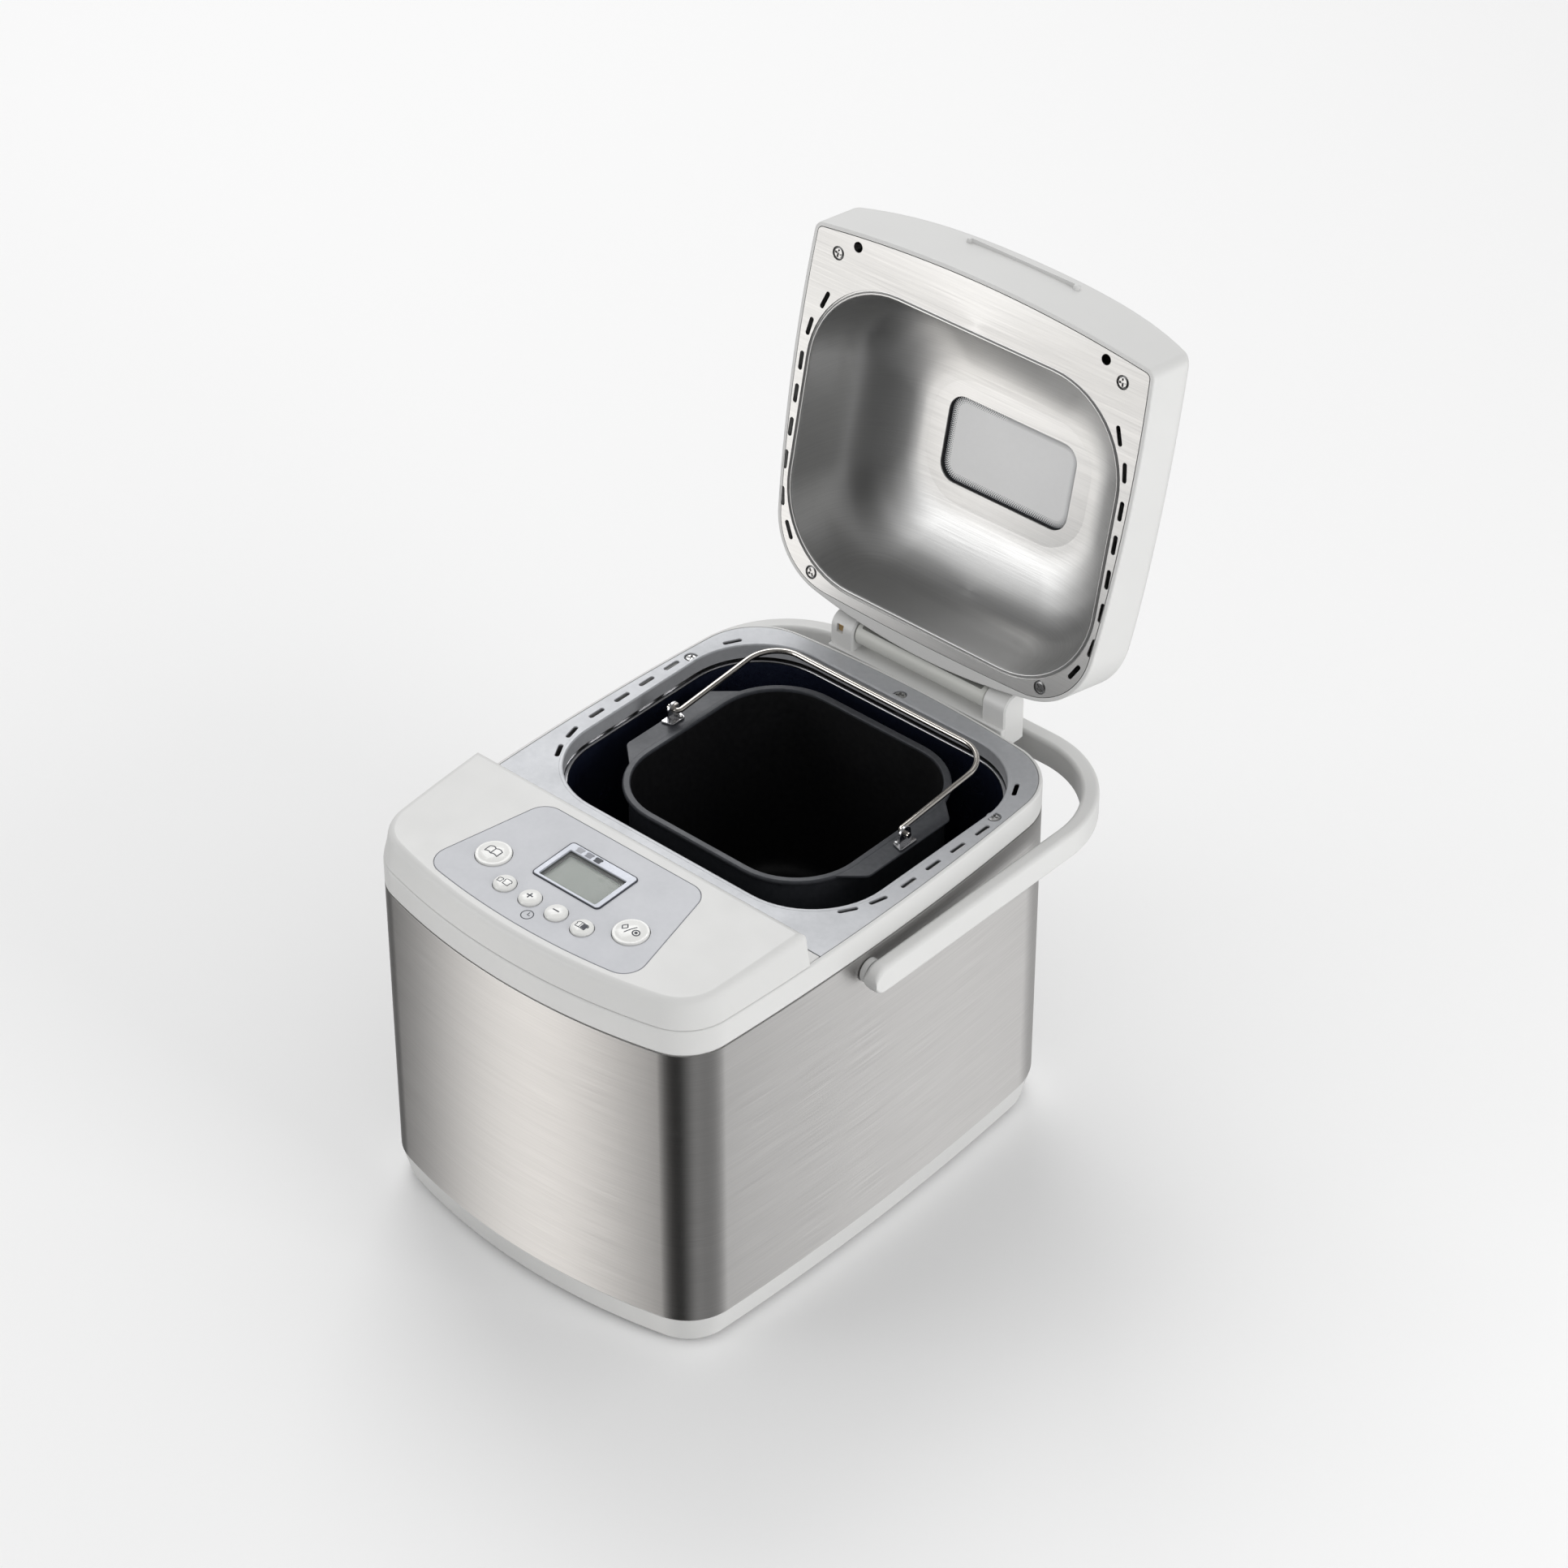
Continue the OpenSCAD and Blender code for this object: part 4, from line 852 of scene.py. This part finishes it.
def add_deck():
    deck = Shape()
    holes = [oven_ring(-2.2)] + both([slot_ring(s) for s in DECK_SLOTS]) + [circle(p, 3.9)
        for p in DECK_SCREWS]
    deck.plate(deck_ring(2.25), holes, DECK_Z - 1.4, DECK_Z - 0.1, 0.22)
    deck.around(oven_ring, profile([(-2.5, DECK_Z - 1.6, 0), (-2.5, DECK_Z, 0.3), (0, DECK_Z, 1),
        (0, 208.3, 0.2), (-1, 208.3, 0.2), (-1, DECK_Z - 1.6, 0.2)], 6), loop=True)
    deck.make("deck_panel", "base", "deck_paint", ["deck_plate"])
    add_screws("deck_screw", "deck_screws", "base", [Matrix.Translation((*p, DECK_Z - 1.7))
        @ Matrix.Rotation(0.5, 4, "Z") for p in DECK_SCREWS], 3.6, 1.3, 1.65, 8, IN_BODY)


def add_oven():
    liner = Shape()
    floor_z, ledge = liner_low.z, liner_high.z
    liner.around(oven_ring, profile([(2, ledge - 1, 0), (2, floor_z + 0.8, 8),
        (10.5, floor_z + 0.8, 0), (10.5, floor_z, 0), (1.2, floor_z, 8.8), (1.2, ledge - 1, 0)], 8),
        loop=True)
    liner.around(oven_ring, profile([(-4, ledge - 0.8, 0.2), (-4, ledge, 0.2), (2, ledge, 0.6),
        (2, ledge - 1, 0), (1.2, ledge - 1, 0)], 4), loop=True, mat=1)
    liner.plate(oven_ring(10.4), [circle((0, OVEN_Y), 11.1, 48)], floor_z + 0.02, floor_z + 0.79, 0)
    piece = liner.make("oven_chamber", "base", "oven_coating", ["oven_liner"], extra=[bright_edge])
    holes = Shape()
    for x, z, r in ((-30, 120, 3.1), (-14, 88, 4.6), (14, 88, 4.6)):
        holes.place = along_y(x, z)
        holes.prism(circle((0, 0), r), (-82, -68))
    carve(piece, holes)
    element = Shape()
    bent = profile([(14, -90, 0), (14, -65, 5), (93, -65, 38), (93, 92.5, 38), (-93, 92.5, 38),
        (-93, -65, 38), (-14, -65, 5), (-14, -90, 0)], 12, False)
    element.tube([(x, y, 88) for x, y in bent], lambda i, t: circle((0, 0), 3.4, 24))
    element.make("element_tube", "base", "element_metal", ["heating_element"])


# ---- Console ----
def console_ring(inset, drop):
    """Ring round the console top; its rear edge stays until the top starts to round over."""
    rear = CONSOLE_REAR_Y - 0.3 - max(0.0, inset - 3.2)
    return [(x, y, console_top(y) - drop) for x, y in front_outline(0.3 + inset, rear)]


def console_plane(inset):
    """The same ring in the console's own axes."""
    c = math.cos(CONSOLE_SLOPE)
    return [(x, (y - CONSOLE_REAR_Y) / c) for x, y, z in console_ring(inset, 0)]


def button_holes(grow):
    return ([circle(p, BIG_R + grow, 48) for p in BIG_BUTTONS]
            + [circle(p, SMALL_R + grow, 40) for p in SMALL_BUTTONS])


def add_console():
    cover = Shape(IN_BODY)
    edge = [(2.0, 8.0), (2.5, 4.6), (2.7, 3.5), (3.05, 2.4), (3.6, 1.45), (4.4, 0.7), (5.4, 0.2),
        (6.6, 0.0)]
    low = DECK_Z + 0.35
    outer = [[(x, y, low) for x, y, z in console_ring(0.25, 0)],
        [(x, y, low + 0.3) for x, y, z in console_ring(0, 0)]]
    outer += [console_ring(i, d) for i, d in edge]
    inner = [[(x, y, low) for x, y, z in console_ring(2.4, 0)]]
    inner += [console_ring(i + 2.4, d + 2.4) for i, d in edge]
    cover.skin([inner[-1], *inner[-2::-1], *outer])
    cover.place = ON_CONSOLE
    screen = rounded(-22, 22, -53.6, -25, 1, 4)
    cover.plate(console_plane(6.6), [overlay_ring(-0.15)], -2.4, 0, 0)
    cover.plate(overlay_ring(-0.2), button_holes(BUTTON_GAP) + [screen], -2.4, -0.55, 0)
    cover.make("console_top", "base", "white_plastic", ["console_cover"], UPRIGHT)

    film = Shape(ON_CONSOLE)
    frame_hole = rounded(-23.6, 23.6, -55.2, -23.4, 2.6, 6)
    film.plate(overlay_ring(0.05), button_holes(BUTTON_GAP) + [frame_hole], -0.5, 0.06, 0.12)
    film.plate(overlay_ring(0.12), [overlay_ring(0.42)], 0.05, 0.1, 0, 1)
    clock = (-1.6, -80.3)
    for points in [circle(clock, 3.3, 40) + [circle(clock, 3.3, 40)[0]],
                   [(clock[0], clock[1] + 2.1), clock, (clock[0] + 1.7, clock[1])]]:
        film.stroke([(x, y, 0.08) for x, y in points], 0.58, 0.03, 2)
    film.make("control_film", "base", "overlay_film", ["control_overlay"], UPRIGHT,
        extra=[print_line, ink])


def add_display():
    bezel = Shape(ON_CONSOLE)
    outer, opening = rounded(-23.5, 23.5, -55.1, -23.5, 2.5, 8), rounded(-19.8, 19.8, -52.9, -29.3,
        0.8, 5)
    bezel.plate(outer, [opening], -0.5, 0.7, 0.3)
    rim = profile([(-0.05, -0.5, 0), (-0.05, 0.76, 0.2), (0.7, 0.76, 0.2), (0.7, -0.5, 0)], 3)
    bezel.around(lambda i: rounded(-23.5 + i, 23.5 - i, -55.1 + i, -23.5 - i, 2.5 - i, 8), rim,
        loop=True, mat=1)
    for x, shade in ((-15.5, 2), (-9, 3), (-2.8, 1)):
        bezel.plate(loaf_ring((x, -26.6), 2.7, 1.9), [], 0.68, 0.74, 0, shade)
    bezel.make("display_bezel", "base", "frame_silver", ["display_frame"], UPRIGHT,
        extra=[ink, icon_light, icon_mid])
    lens = Shape(ON_CONSOLE)
    lens.plate(rounded(-21, 21, -53.5, -28.7, 0.6, 4), [], -1.5, -0.7, 0.1)
    lens.make("display_lens", "base", "clear_lens", ["display_window"], UPRIGHT)
    panel = Shape(ON_CONSOLE)
    panel.block((-21.5, 21.5), (-53.5, -28.7), (-5.5, -2.4), 0.2)
    # Dark ring round the display's face: painted shade where the frame shades the display's edge.
    panel.plate(rounded(-21.5, 21.5, -53.5, -28.7, 0.4, 4),
        [rounded(-18.8, 18.8, -51.8, -30.6, 0.8, 5)], -2.4, -2.1, 0.05, 1)
    for x in (-18, 16):
        panel.block((x, x + 2), (-51.1, -31.1), (-11.6, -5.4), 0.2, 1)
    panel.make("display_panel", "base", "lcd_glass", ["display_module"], UPRIGHT,
        extra=[MATERIALS["gasket_dark"]])


def loaf_ring(at, half_w, half_h):
    """Outline of a loaf: straight base and sides under a wider rounded top."""
    x, y = half_w, half_h
    corners = [(-x * 0.78, -y, 0.15), (x * 0.78, -y, 0.15), (x * 0.78, y * 0.1, 0.1),
        (x, y * 0.35, 0.3 * y), (x * 0.8, y, 0.5 * y), (-x * 0.8, y, 0.5 * y),
        (-x, y * 0.35, 0.3 * y), (-x * 0.78, y * 0.1, 0.1)]
    return [(at[0] + u, at[1] + v) for u, v in profile(corners, 3)]


def book_lines():
    page = [(0, -2.3), (-1.2, -1.7), (-2.6, -1.6), (-4.3, -2.1), (-4.3, 2.2), (-2.6, 2.9),
        (-1.2, 2.7), (0, 1.9)]
    return [closed(page), closed([(-x, y) for x, y in page])]


def add_button(name, at, r, lines, fills=()):
    """Domed button with a symbol printed on it."""
    button = Shape(ON_CONSOLE @ Matrix.Translation((*at, 0)))
    dome = [(u, 2.4 - u * u / (6 * r)) for u in (r * k / 10 for k in range(9, -1, -1))]
    section = [(0, -6.5), (2.5, -6.5), (2.5, -5), (r + 1.2, -5), (r + 1.2, -2.7), (r, -2.7),
        (r, 0.7), (r - 0.12, 1.0), (r - 0.35, 1.2)]
    button.lathe((0, 0), section + dome, n=64)

    def on_dome(x, y):
        return x, y, 2.42 - (x * x + y * y) / (6 * r)

    for line, width in lines:
        path = [line[0]]
        for a, b in zip(line, line[1:]):
            steps = max(1, round(math.dist(a, b) / 0.8))
            path += [(a[0] + (b[0] - a[0]) * k / steps, a[1] + (b[1] - a[1]) * k / steps)
                     for k in range(1, steps + 1)]
        button.stroke([on_dome(x, y) for x, y in path], width, 0.1, 1)
    for ring in fills:
        middle = Vector((sum(p[0] for p in ring), sum(p[1] for p in ring))) / len(ring)
        button.skin([[(x, y, on_dome(x, y)[2] + 0.05) for x,
            y in [middle + (Vector(p) - middle) * f for p in ring]] for f in (1, 0.6, 0.02)],
            end=True, mat=1)
    button.make(f"{name}_cap", name, "pearl_plastic", [name], UPRIGHT, extra=[ink])


def add_buttons():
    small_loaf, big_loaf = loaf_ring((-2.6, -0.4), 1.7, 1.4), loaf_ring((1.9, 0.1), 2.2, 2.0)
    add_button("menu_button", BIG_BUTTONS[0], BIG_R, [(line, 0.62) for line in book_lines()])
    add_button("loaf_button", SMALL_BUTTONS[0], SMALL_R,
               [(closed(small_loaf), 0.42), (closed(big_loaf), 0.42)])
    add_button("plus_button", SMALL_BUTTONS[1], SMALL_R, [([(-2, 0), (2, 0)], 0.8),
        ([(0, -2), (0, 2)], 0.8)])
    add_button("minus_button", SMALL_BUTTONS[2], SMALL_R, [([(-2.1, 0), (2.1, 0)], 0.75)])
    crust = loaf_ring((0, 0), 3.9, 1.9)
    add_button("crust_button", SMALL_BUTTONS[3], SMALL_R, [(closed(crust), 0.42),
        ([(-0.7, -1.9), (-0.7, 1.9)], 0.36)], [[(0.1, -1.6), (2.9, -1.6), (3.4, 0.8), (2.8, 1.6),
        (0.1, 1.6)]])
    go = [(-5.8, 0.1), (-3.9, 2.2), (-2.0, 0.1), (-3.9, -2.0)]
    add_button("start_button", BIG_BUTTONS[1], BIG_R, [(closed(go), 0.62),
        ([(-1.5, -3.4), (1.5, 3.4)], 0.6), (closed(circle((3.8, -0.1), 1.9, 20)), 0.7)],
        [circle((3.8, -0.1), 0.9, 12)])


# ---- Hinge, inlet and handle pivots ----
def add_hinge():
    bracket = Shape()
    bracket.block((-62.4, 62.4), (119.2, 136), (202, 216), 0.8)
    for x in (-62.5, 46.5):
        bracket.place = along_x(HINGE_Y, HINGE_Z)
        knuckle = [(24, -KNUCKLE_R), (24, KNUCKLE_R)] + bend((0, 0), KNUCKLE_R, 90, 270, 24)
        bracket.plate(knuckle, [], x, x + KNUCKLE_W, 0.9)
    piece = bracket.make("hinge_stand", "base", "white_plastic", ["hinge_bracket"])
    pocket = Shape()
    pocket.block((-58.2, -53.4), (HINGE_Y - 10, HINGE_Y - 6.4), (HINGE_Z - 1.5, HINGE_Z + 3.8), 0.3)
    carve(piece, pocket)
    plug = Shape()
    plug.block((-57.6, -54), (HINGE_Y - 7, HINGE_Y - 6), (HINGE_Z - 0.9, HINGE_Z + 3.2), 0.2)
    plug.make("hinge_plug", "base", "bronze", ["hinge_bracket"])

    arm = Shape(along_x(HINGE_Y, HINGE_Z))
    arm.lathe((0, 0), profile([(2.6, -46, 0.2), (7.2, -46, 0.8), (7.2, 46, 0.8), (2.6, 46, 0.2)]),
        loop=True)
    arm.place = UPRIGHT
    arm.block((-46, 46), (120.5, 131), (HINGE_Z + 0.5, HINGE_Z + 13.4), 1.2)
    # The arm's grey-green plastic holds painted shade.
    piece = arm.make("hinge_arm", "lid", "white_plastic", ["lid_hinge_arm"], IN_LID,
        main=arm_plastic_painted_shade)
    channel = Shape()
    channel.block((-43, 43), (HINGE_Y - 14, HINGE_Y - 4.4), (HINGE_Z - 12, HINGE_Z + 12), 1.0)
    carve(piece, channel, IN_LID)


def add_fittings():
    for side in (-1, 1):
        stud = Shape(Matrix.Diagonal((side, 1, 1, 1)) @ along_x(PIVOT_Y, PIVOT_Z))
        stud.lathe((0, 0), profile([(0, 115, 0), (5.5, 115, 0.3), (5.5, 119.2, 0), (3, 119.2, 0),
            (3, 120.7, 0), (7, 120.7, 0.6), (7, 124.5, 0.6), (3, 124.5, 0), (3, 131.4, 0.5),
            (0, 131.4, 0)], 4, False))
        stud.make("stud_left" if side < 0 else "stud_right", "base", "white_plastic",
            ["handle_studs"])
    inlet = Shape(along_y(INLET_X, INLET_Z))
    inlet.lathe((0, 0), profile([(3.6, 112.2, 0.3), (3.6, 121.1, 0.8), (9, 121.1, 0.9),
        (9, 119.1, 0.2), (6, 119.1, 0), (6, 114, 0), (8, 114, 0.2), (8, 111.2, 0.4),
        (4.4, 111.2, 0.2)]), loop=True)
    inlet.make("inlet_grommet", "base", "rubber_black", ["cord_inlet"])


# ---- Lid, drawn closed ----
def lid_ring(inset, f, drop):
    """Outline of the lid roof shrunk by f and lowered by drop below its surface."""
    ring = []
    for px, py in outline(LID_FORM, inset):
        x, y = px * f, 17 + (py - 17) * f
        top = lid_depth(x, y) - drop
        ring.append((x, y + lid_lean(y) * top / 45, PANEL_Z + top))
    return ring


def flat_ring(form, inset, z):
    return lifted(outline(form, inset), z)


def lid_rings(inset, drop):
    """Rings from the foot of the lid wall to the middle of its roof."""
    edge = [(1 - 0.055 * (1 - math.cos(a)), 6.5 * (1 - math.sin(a))) for a in
            (math.radians(9 * i) for i in range(11))]
    roof = [0.92, 0.89, 0.86, 0.82, 0.78, 0.73, 0.67, 0.6, 0.52, 0.44, 0.35, 0.26, 0.17, 0.08, 0.02]
    return [lid_ring(inset, f, drop + d) for f, d in edge + [(f, 0) for f in roof]]


def add_lid():
    low = PANEL_Z + 0.1
    shell = Shape()
    outer = [flat_ring(LID_FORM, i, z) for i, z in ((0.9, low), (0.45, low + 0.1),
        (0.12, low + 0.45), (0, low + 1))]
    outer += lid_rings(0, 0)
    inner = [flat_ring(PANEL_FORM, 2.35, low), flat_ring(PANEL_FORM, 2.35, low + 1.8),
             flat_ring(LID_FORM, 2.4, low + 1.8)] + lid_rings(2.4, LID_T)
    shell.skin(outer[::-1] + inner, start=True, end=True)
    for x, y in LID_SCREWS:
        shell.lathe((x, y), [(1.7, PANEL_Z + 1.4), (4, PANEL_Z + 1.4),
            (4, PANEL_Z + lid_depth(x, y) - 1.5), (1.7, PANEL_Z + lid_depth(x, y) - 1.5)],
            loop=True, n=24)
    lid = shell.make("lid_moulding", "lid", "white_plastic", ["lid_shell"], IN_LID)
    cuts = [((-63.5, 63.5), (117.5, 145), (PANEL_Z + 1.9, HINGE_Z + 13.5))]
    cuts += [(x, (HINGE_Y - 9.5, 145), (PANEL_Z - 1, PANEL_Z + 3))
        for x in ((-63.5, -45.5), (45.5, 63.5))]
    for x, y, z in cuts:
        cut = Shape()
        cut.block(x, y, z, 0.4)
        carve(lid, cut, IN_LID)
    pane = Shape()
    pane.prism(rounded(-32, 32, 2, 42, 3, 6), (255, 300))
    carve(lid, pane, IN_LID)
    grip = Shape()
    grip.block((-38, 38), (-102.6, -93.8), (248, 252.5), 1.6)
    piece = grip.make("lid_grip", "lid", "white_plastic", ["lid_shell"], IN_LID)
    hollow = Shape()
    hollow.block((-35.5, 35.5), (-104.5, -97), (246, 250), 1)
    carve(piece, hollow, IN_LID)


def smooth_line(points, steps=5):
    """Catmull-Rom curve through the points."""
    ends = [points[0], *points, points[-1]]
    out = [points[0]]
    for i in range(1, len(points)):
        a, b, c, d = (Vector(ends[i + k - 1]) for k in range(4))
        for k in range(1, steps + 1):
            t = k / steps
            out.append(tuple(0.5 * (2 * b + (c - a) * t + (2 * a - 5 * b + 4 * c - d) * t * t
                                    + (3 * b - a - 3 * c + d) * t ** 3)))
    return out


def add_lid_panel():
    panel = Shape()
    holes = ([recess_ring(-2.6)] + both([slot_ring(s) for s in LID_SLOTS])
        + [circle(p, 2.9) for p in LATCH_HOLES] + [circle(p, 3.9) for p in LID_SCREWS])
    panel.plate(outline(PANEL_FORM, 2.65), holes, PANEL_Z, PANEL_Z + PANEL_T, 0.15)
    bead = [(-2.7, 0.75), (-2.55, 0.95), (-1.9, 1.0), (-1.45, 0.7), (-1.2, 0.3), (-0.85, 0.06),
        (-0.4, 0.02), (0.05, 0.3), (0.3, 0.8)]
    deep = smooth_line([(0.5, 1.8), (2.2, 10.8), (5, 21.8), (10, 31.8), (18, 39.3), (28, 45.1),
        (37, 48.9), (44, 50.7), (50, RECESS_DEPTH)])
    face = bead + deep
    back = [(i, z + 0.8) for i, z in face]
    panel.around(recess_ring, [(i, PANEL_Z + z) for i, z in face + back[::-1]], loop=True)
    panel.plate(recess_ring(50), [window_ring(-1.5)], PANEL_Z + RECESS_DEPTH,
        PANEL_Z + RECESS_DEPTH + 0.8, 0)
    panel.make("lid_panel", "lid", "lid_metal", ["lid_liner"], IN_LID, 40)
    add_screws("lid_screw", "lid_screws", "lid", [Matrix.Translation((x, y, PANEL_Z + 1.3))
        @ Matrix.Rotation(math.pi, 4, "X") @ Matrix.Rotation(x * 0.05, 4, "Z") for x,
        y in LID_SCREWS], 3.6, 1.3, 1.65, 12, IN_LID)


def add_windows():
    top = PANEL_Z + RECESS_DEPTH
    glass = Shape()
    glass.plate(window_ring(-1.7), [], top + 3, top + 4.6, 0.4)
    rows = ((-2.1, 0.56), (-3.0, 0.48), (-3.9, 0.4), (-4.8, 0.31), (-5.7, 0.22))
    for row, (out, r) in enumerate(rows):
        ring = resampled(window_ring(out), 1.3, 0.5 * (row % 2))
        for x, y in ring:
            glass.skin([[(u, v, top + 2.97) for u, v in circle((x, y), r, 8)]], start=True, mat=1)
    glass.make("recess_window", "lid", "window_glass", ["lid_window"], IN_LID, extra=[ink])
    seal = Shape()
    seal.around(window_ring, profile([(1, top + 0.9, 0.3), (1, top + 4.6, 0.3),
        (-1.6, top + 4.6, 0.2), (-1.6, top + 0.9, 0.5)]), loop=True)
    seal.make("recess_gasket", "lid", "gasket_dark", ["window_gasket"], IN_LID)
    roof = Shape()
    roof.plate(rounded(-31.8, 31.8, 2.2, 41.8, 2.8, 6), [], PANEL_Z + 56.2, PANEL_Z + 59.2, 0.5)
    roof.make("roof_window", "lid", "window_glass", ["lid_outer_window"], IN_LID)


def resampled(ring, step, shift):
    """Points spaced evenly along a closed ring."""
    points = [Vector(p) for p in closed(ring)]
    lengths = [(b - a).length for a, b in zip(points, points[1:])]
    count = round(sum(lengths) / step)
    gap = sum(lengths) / count
    out, i, start = [], 0, 0.0
    for k in range(count):
        at = (k + shift) * gap
        while start + lengths[i] < at:
            start += lengths[i]
            i += 1
        out.append(points[i].lerp(points[i + 1], (at - start) / lengths[i]))
    return out


# ---- Carry handle ----
def bail_line(half_w, rear_y, r):
    """Right half of the handle outline, from beside its pivot to the rear middle."""
    sides = [(half_w, y) for y in (PIVOT_Y, -30, 0, 30, 60, rear_y - r)]
    rear = [(half_w - r - k * (half_w - r) / 8, rear_y) for k in range(1, 9)]
    return sides + arc((half_w - r, rear_y - r), r, 0, 90, 24) + rear


def add_carry_handle():
    handle = Shape()
    z, reach = handle_at.z, 8.5
    outer, inner = bail_line(134, 157.5, 64), bail_line(125, 147, 55)
    half = list(zip(outer, inner))
    path = half + [((-a[0], a[1]), (-b[0], b[1])) for a, b in reversed(half[:-1])]

    def section(pair, scale):
        a, b = Vector(pair[0]), Vector(pair[1])
        wide, out = (a - b).length, (a - b).normalized()
        tall = reach * scale
        r = min(2.6, tall * 0.6)
        corners = profile([(0, -tall, r), (wide, -tall, r), (wide, tall, r), (0, tall, r)], 5)
        return [(*(b + out * u), z + v) for u, v in corners]

    def end(side):
        turns = [math.radians(t) for t in (83, 72, 60, 48, 36, 24, 12)]
        return [section(((side * 134, PIVOT_Y - reach * math.sin(t)),
            (side * 125, PIVOT_Y - reach * math.sin(t))), math.cos(t)) for t in turns]

    rings = end(1) + [section(pair, 1) for pair in path] + end(-1)[::-1]
    handle.skin(rings, start=True, end=True)
    piece = handle.make("carry_bail", "carry_handle", "white_plastic", ["carry_handle"])
    for side in (-1, 1):
        bore = Shape(Matrix.Diagonal((side, 1, 1, 1)) @ along_x(PIVOT_Y, z))
        bore.prism(circle((0, 0), 3.05), (122, 132))
        carve(piece, bore)


# ---- Pan ----
def add_pan():
    pan = Shape()
    low, top = pan_low.z, pan_high.z
    inner = profile([(0, top - 1.8, 0), (0, low + 1.6, 9), (-14, low + 1.6, 0)], 8, False)
    outer = profile([(-14, low, 0), (1.2, low, 9), (1.2, top - 2.2, 0)], 8, False)
    pan.around(pan_ring, inner, mat=1)
    pan.around(pan_ring, [inner[-1], *outer, inner[0]])
    pan.around(pan_ring, profile([(0, top - 1.8, 0), (0, top, 0.9), (4.5, top, 1.3),
        (4.5, top - 2.9, 1.3), (2.2, top - 2.9, 0.4), (1.2, top - 2, 0)], 6), loop=True)
    pan.plate(pan_ring(-13.9), [circle((0, OVEN_Y), 9.1, 40)], low + 0.02, low + 1.58, 0, 1)
    tab = (profile([(70, OVEN_Y - 48, 0), (87, OVEN_Y - 33, 5), (87, OVEN_Y + 32, 5),
        (70, OVEN_Y + 47, 0)], 6) + bend((34, OVEN_Y + 30.5), 40, 24, 0, 6)
        + bend((34, OVEN_Y - 30.5), 40, 0, -24, 6))
    for ring in (tab, flip(tab)):
        pan.plate(ring, [], top - 1.6, top - 0.1, 0.4)
    pan.make("pan_vessel", "pan", "non_stick", ["bread_pan"], extra=[pan_inside])
    for side in (-1, 1):
        ear = Shape(Matrix.Diagonal((side, 1, 1, 1)))
        foot = profile([(78.7, OVEN_Y - 5, 1.5), (86, OVEN_Y - 7, 1), (86, OVEN_Y + 7, 1),
            (78.7, OVEN_Y + 5, 1.5)], 4)
        ear.plate(foot, [], top, top + 1.2, 0.25)
        ear.place = ear.place @ along_x(OVEN_Y, bail_at.z)
        eye = [(6.8, 4.4), (6.8, -4.4)] + bend((0, 0), 4.4, 270, 90, 20)
        ear.plate(eye, [circle((0, 0), 1.66, 24)], 82, 83.6, 0.25)
        ear.make("clip_left" if side < 0 else "clip_right", "pan", "plain_steel", ["pan_ears"],
            main=bright_edge)
    rivet = [(1.15, top - 2.3), (1.6, top - 2.3), (1.6, top - 1.7), (1.15, top - 1.7),
        (1.15, top + 1.2), (1.7, top + 1.2), (1.6, top + 1.6), (1.1, top + 1.95), (0, top + 2)]
    for side in (-1, 1):
        for y in (-5.2, 5.2):
            pin = Shape()
            pin.lathe((80.4 * side, OVEN_Y + y * 0.6), [(0, top - 2.3)] + rivet, n=20)
            pin.make("clip_rivet", "pan", "plain_steel", ["ear_rivets"])


def add_wire():
    wire = Shape(Matrix.Translation((0, OVEN_Y, bail_at.z))
        @ Matrix.Rotation(math.radians(-85), 4, "X"))
    bent = profile([(86, 0, 0), (79, 0, 2.4), (79, 76, 20), (-79, 76, 20), (-79, 0, 2.4),
        (-86, 0, 0)], 12, False)
    wire.tube([(x, 0, z) for x, z in bent], lambda i, t: circle((0, 0), 1.6, 20),
        up=Vector((0, 1, 0)))
    wire.make("pan_wire", "pan_handle", "bright_chrome", ["pan_handle"])


add_camera()
add_studio()
add_tray()
add_wrap()
add_rim()
add_deck()
add_oven()
add_console()
add_display()
add_buttons()
add_hinge()
add_fittings()
add_lid()
add_lid_panel()
add_windows()
add_carry_handle()
add_pan()
add_wire()
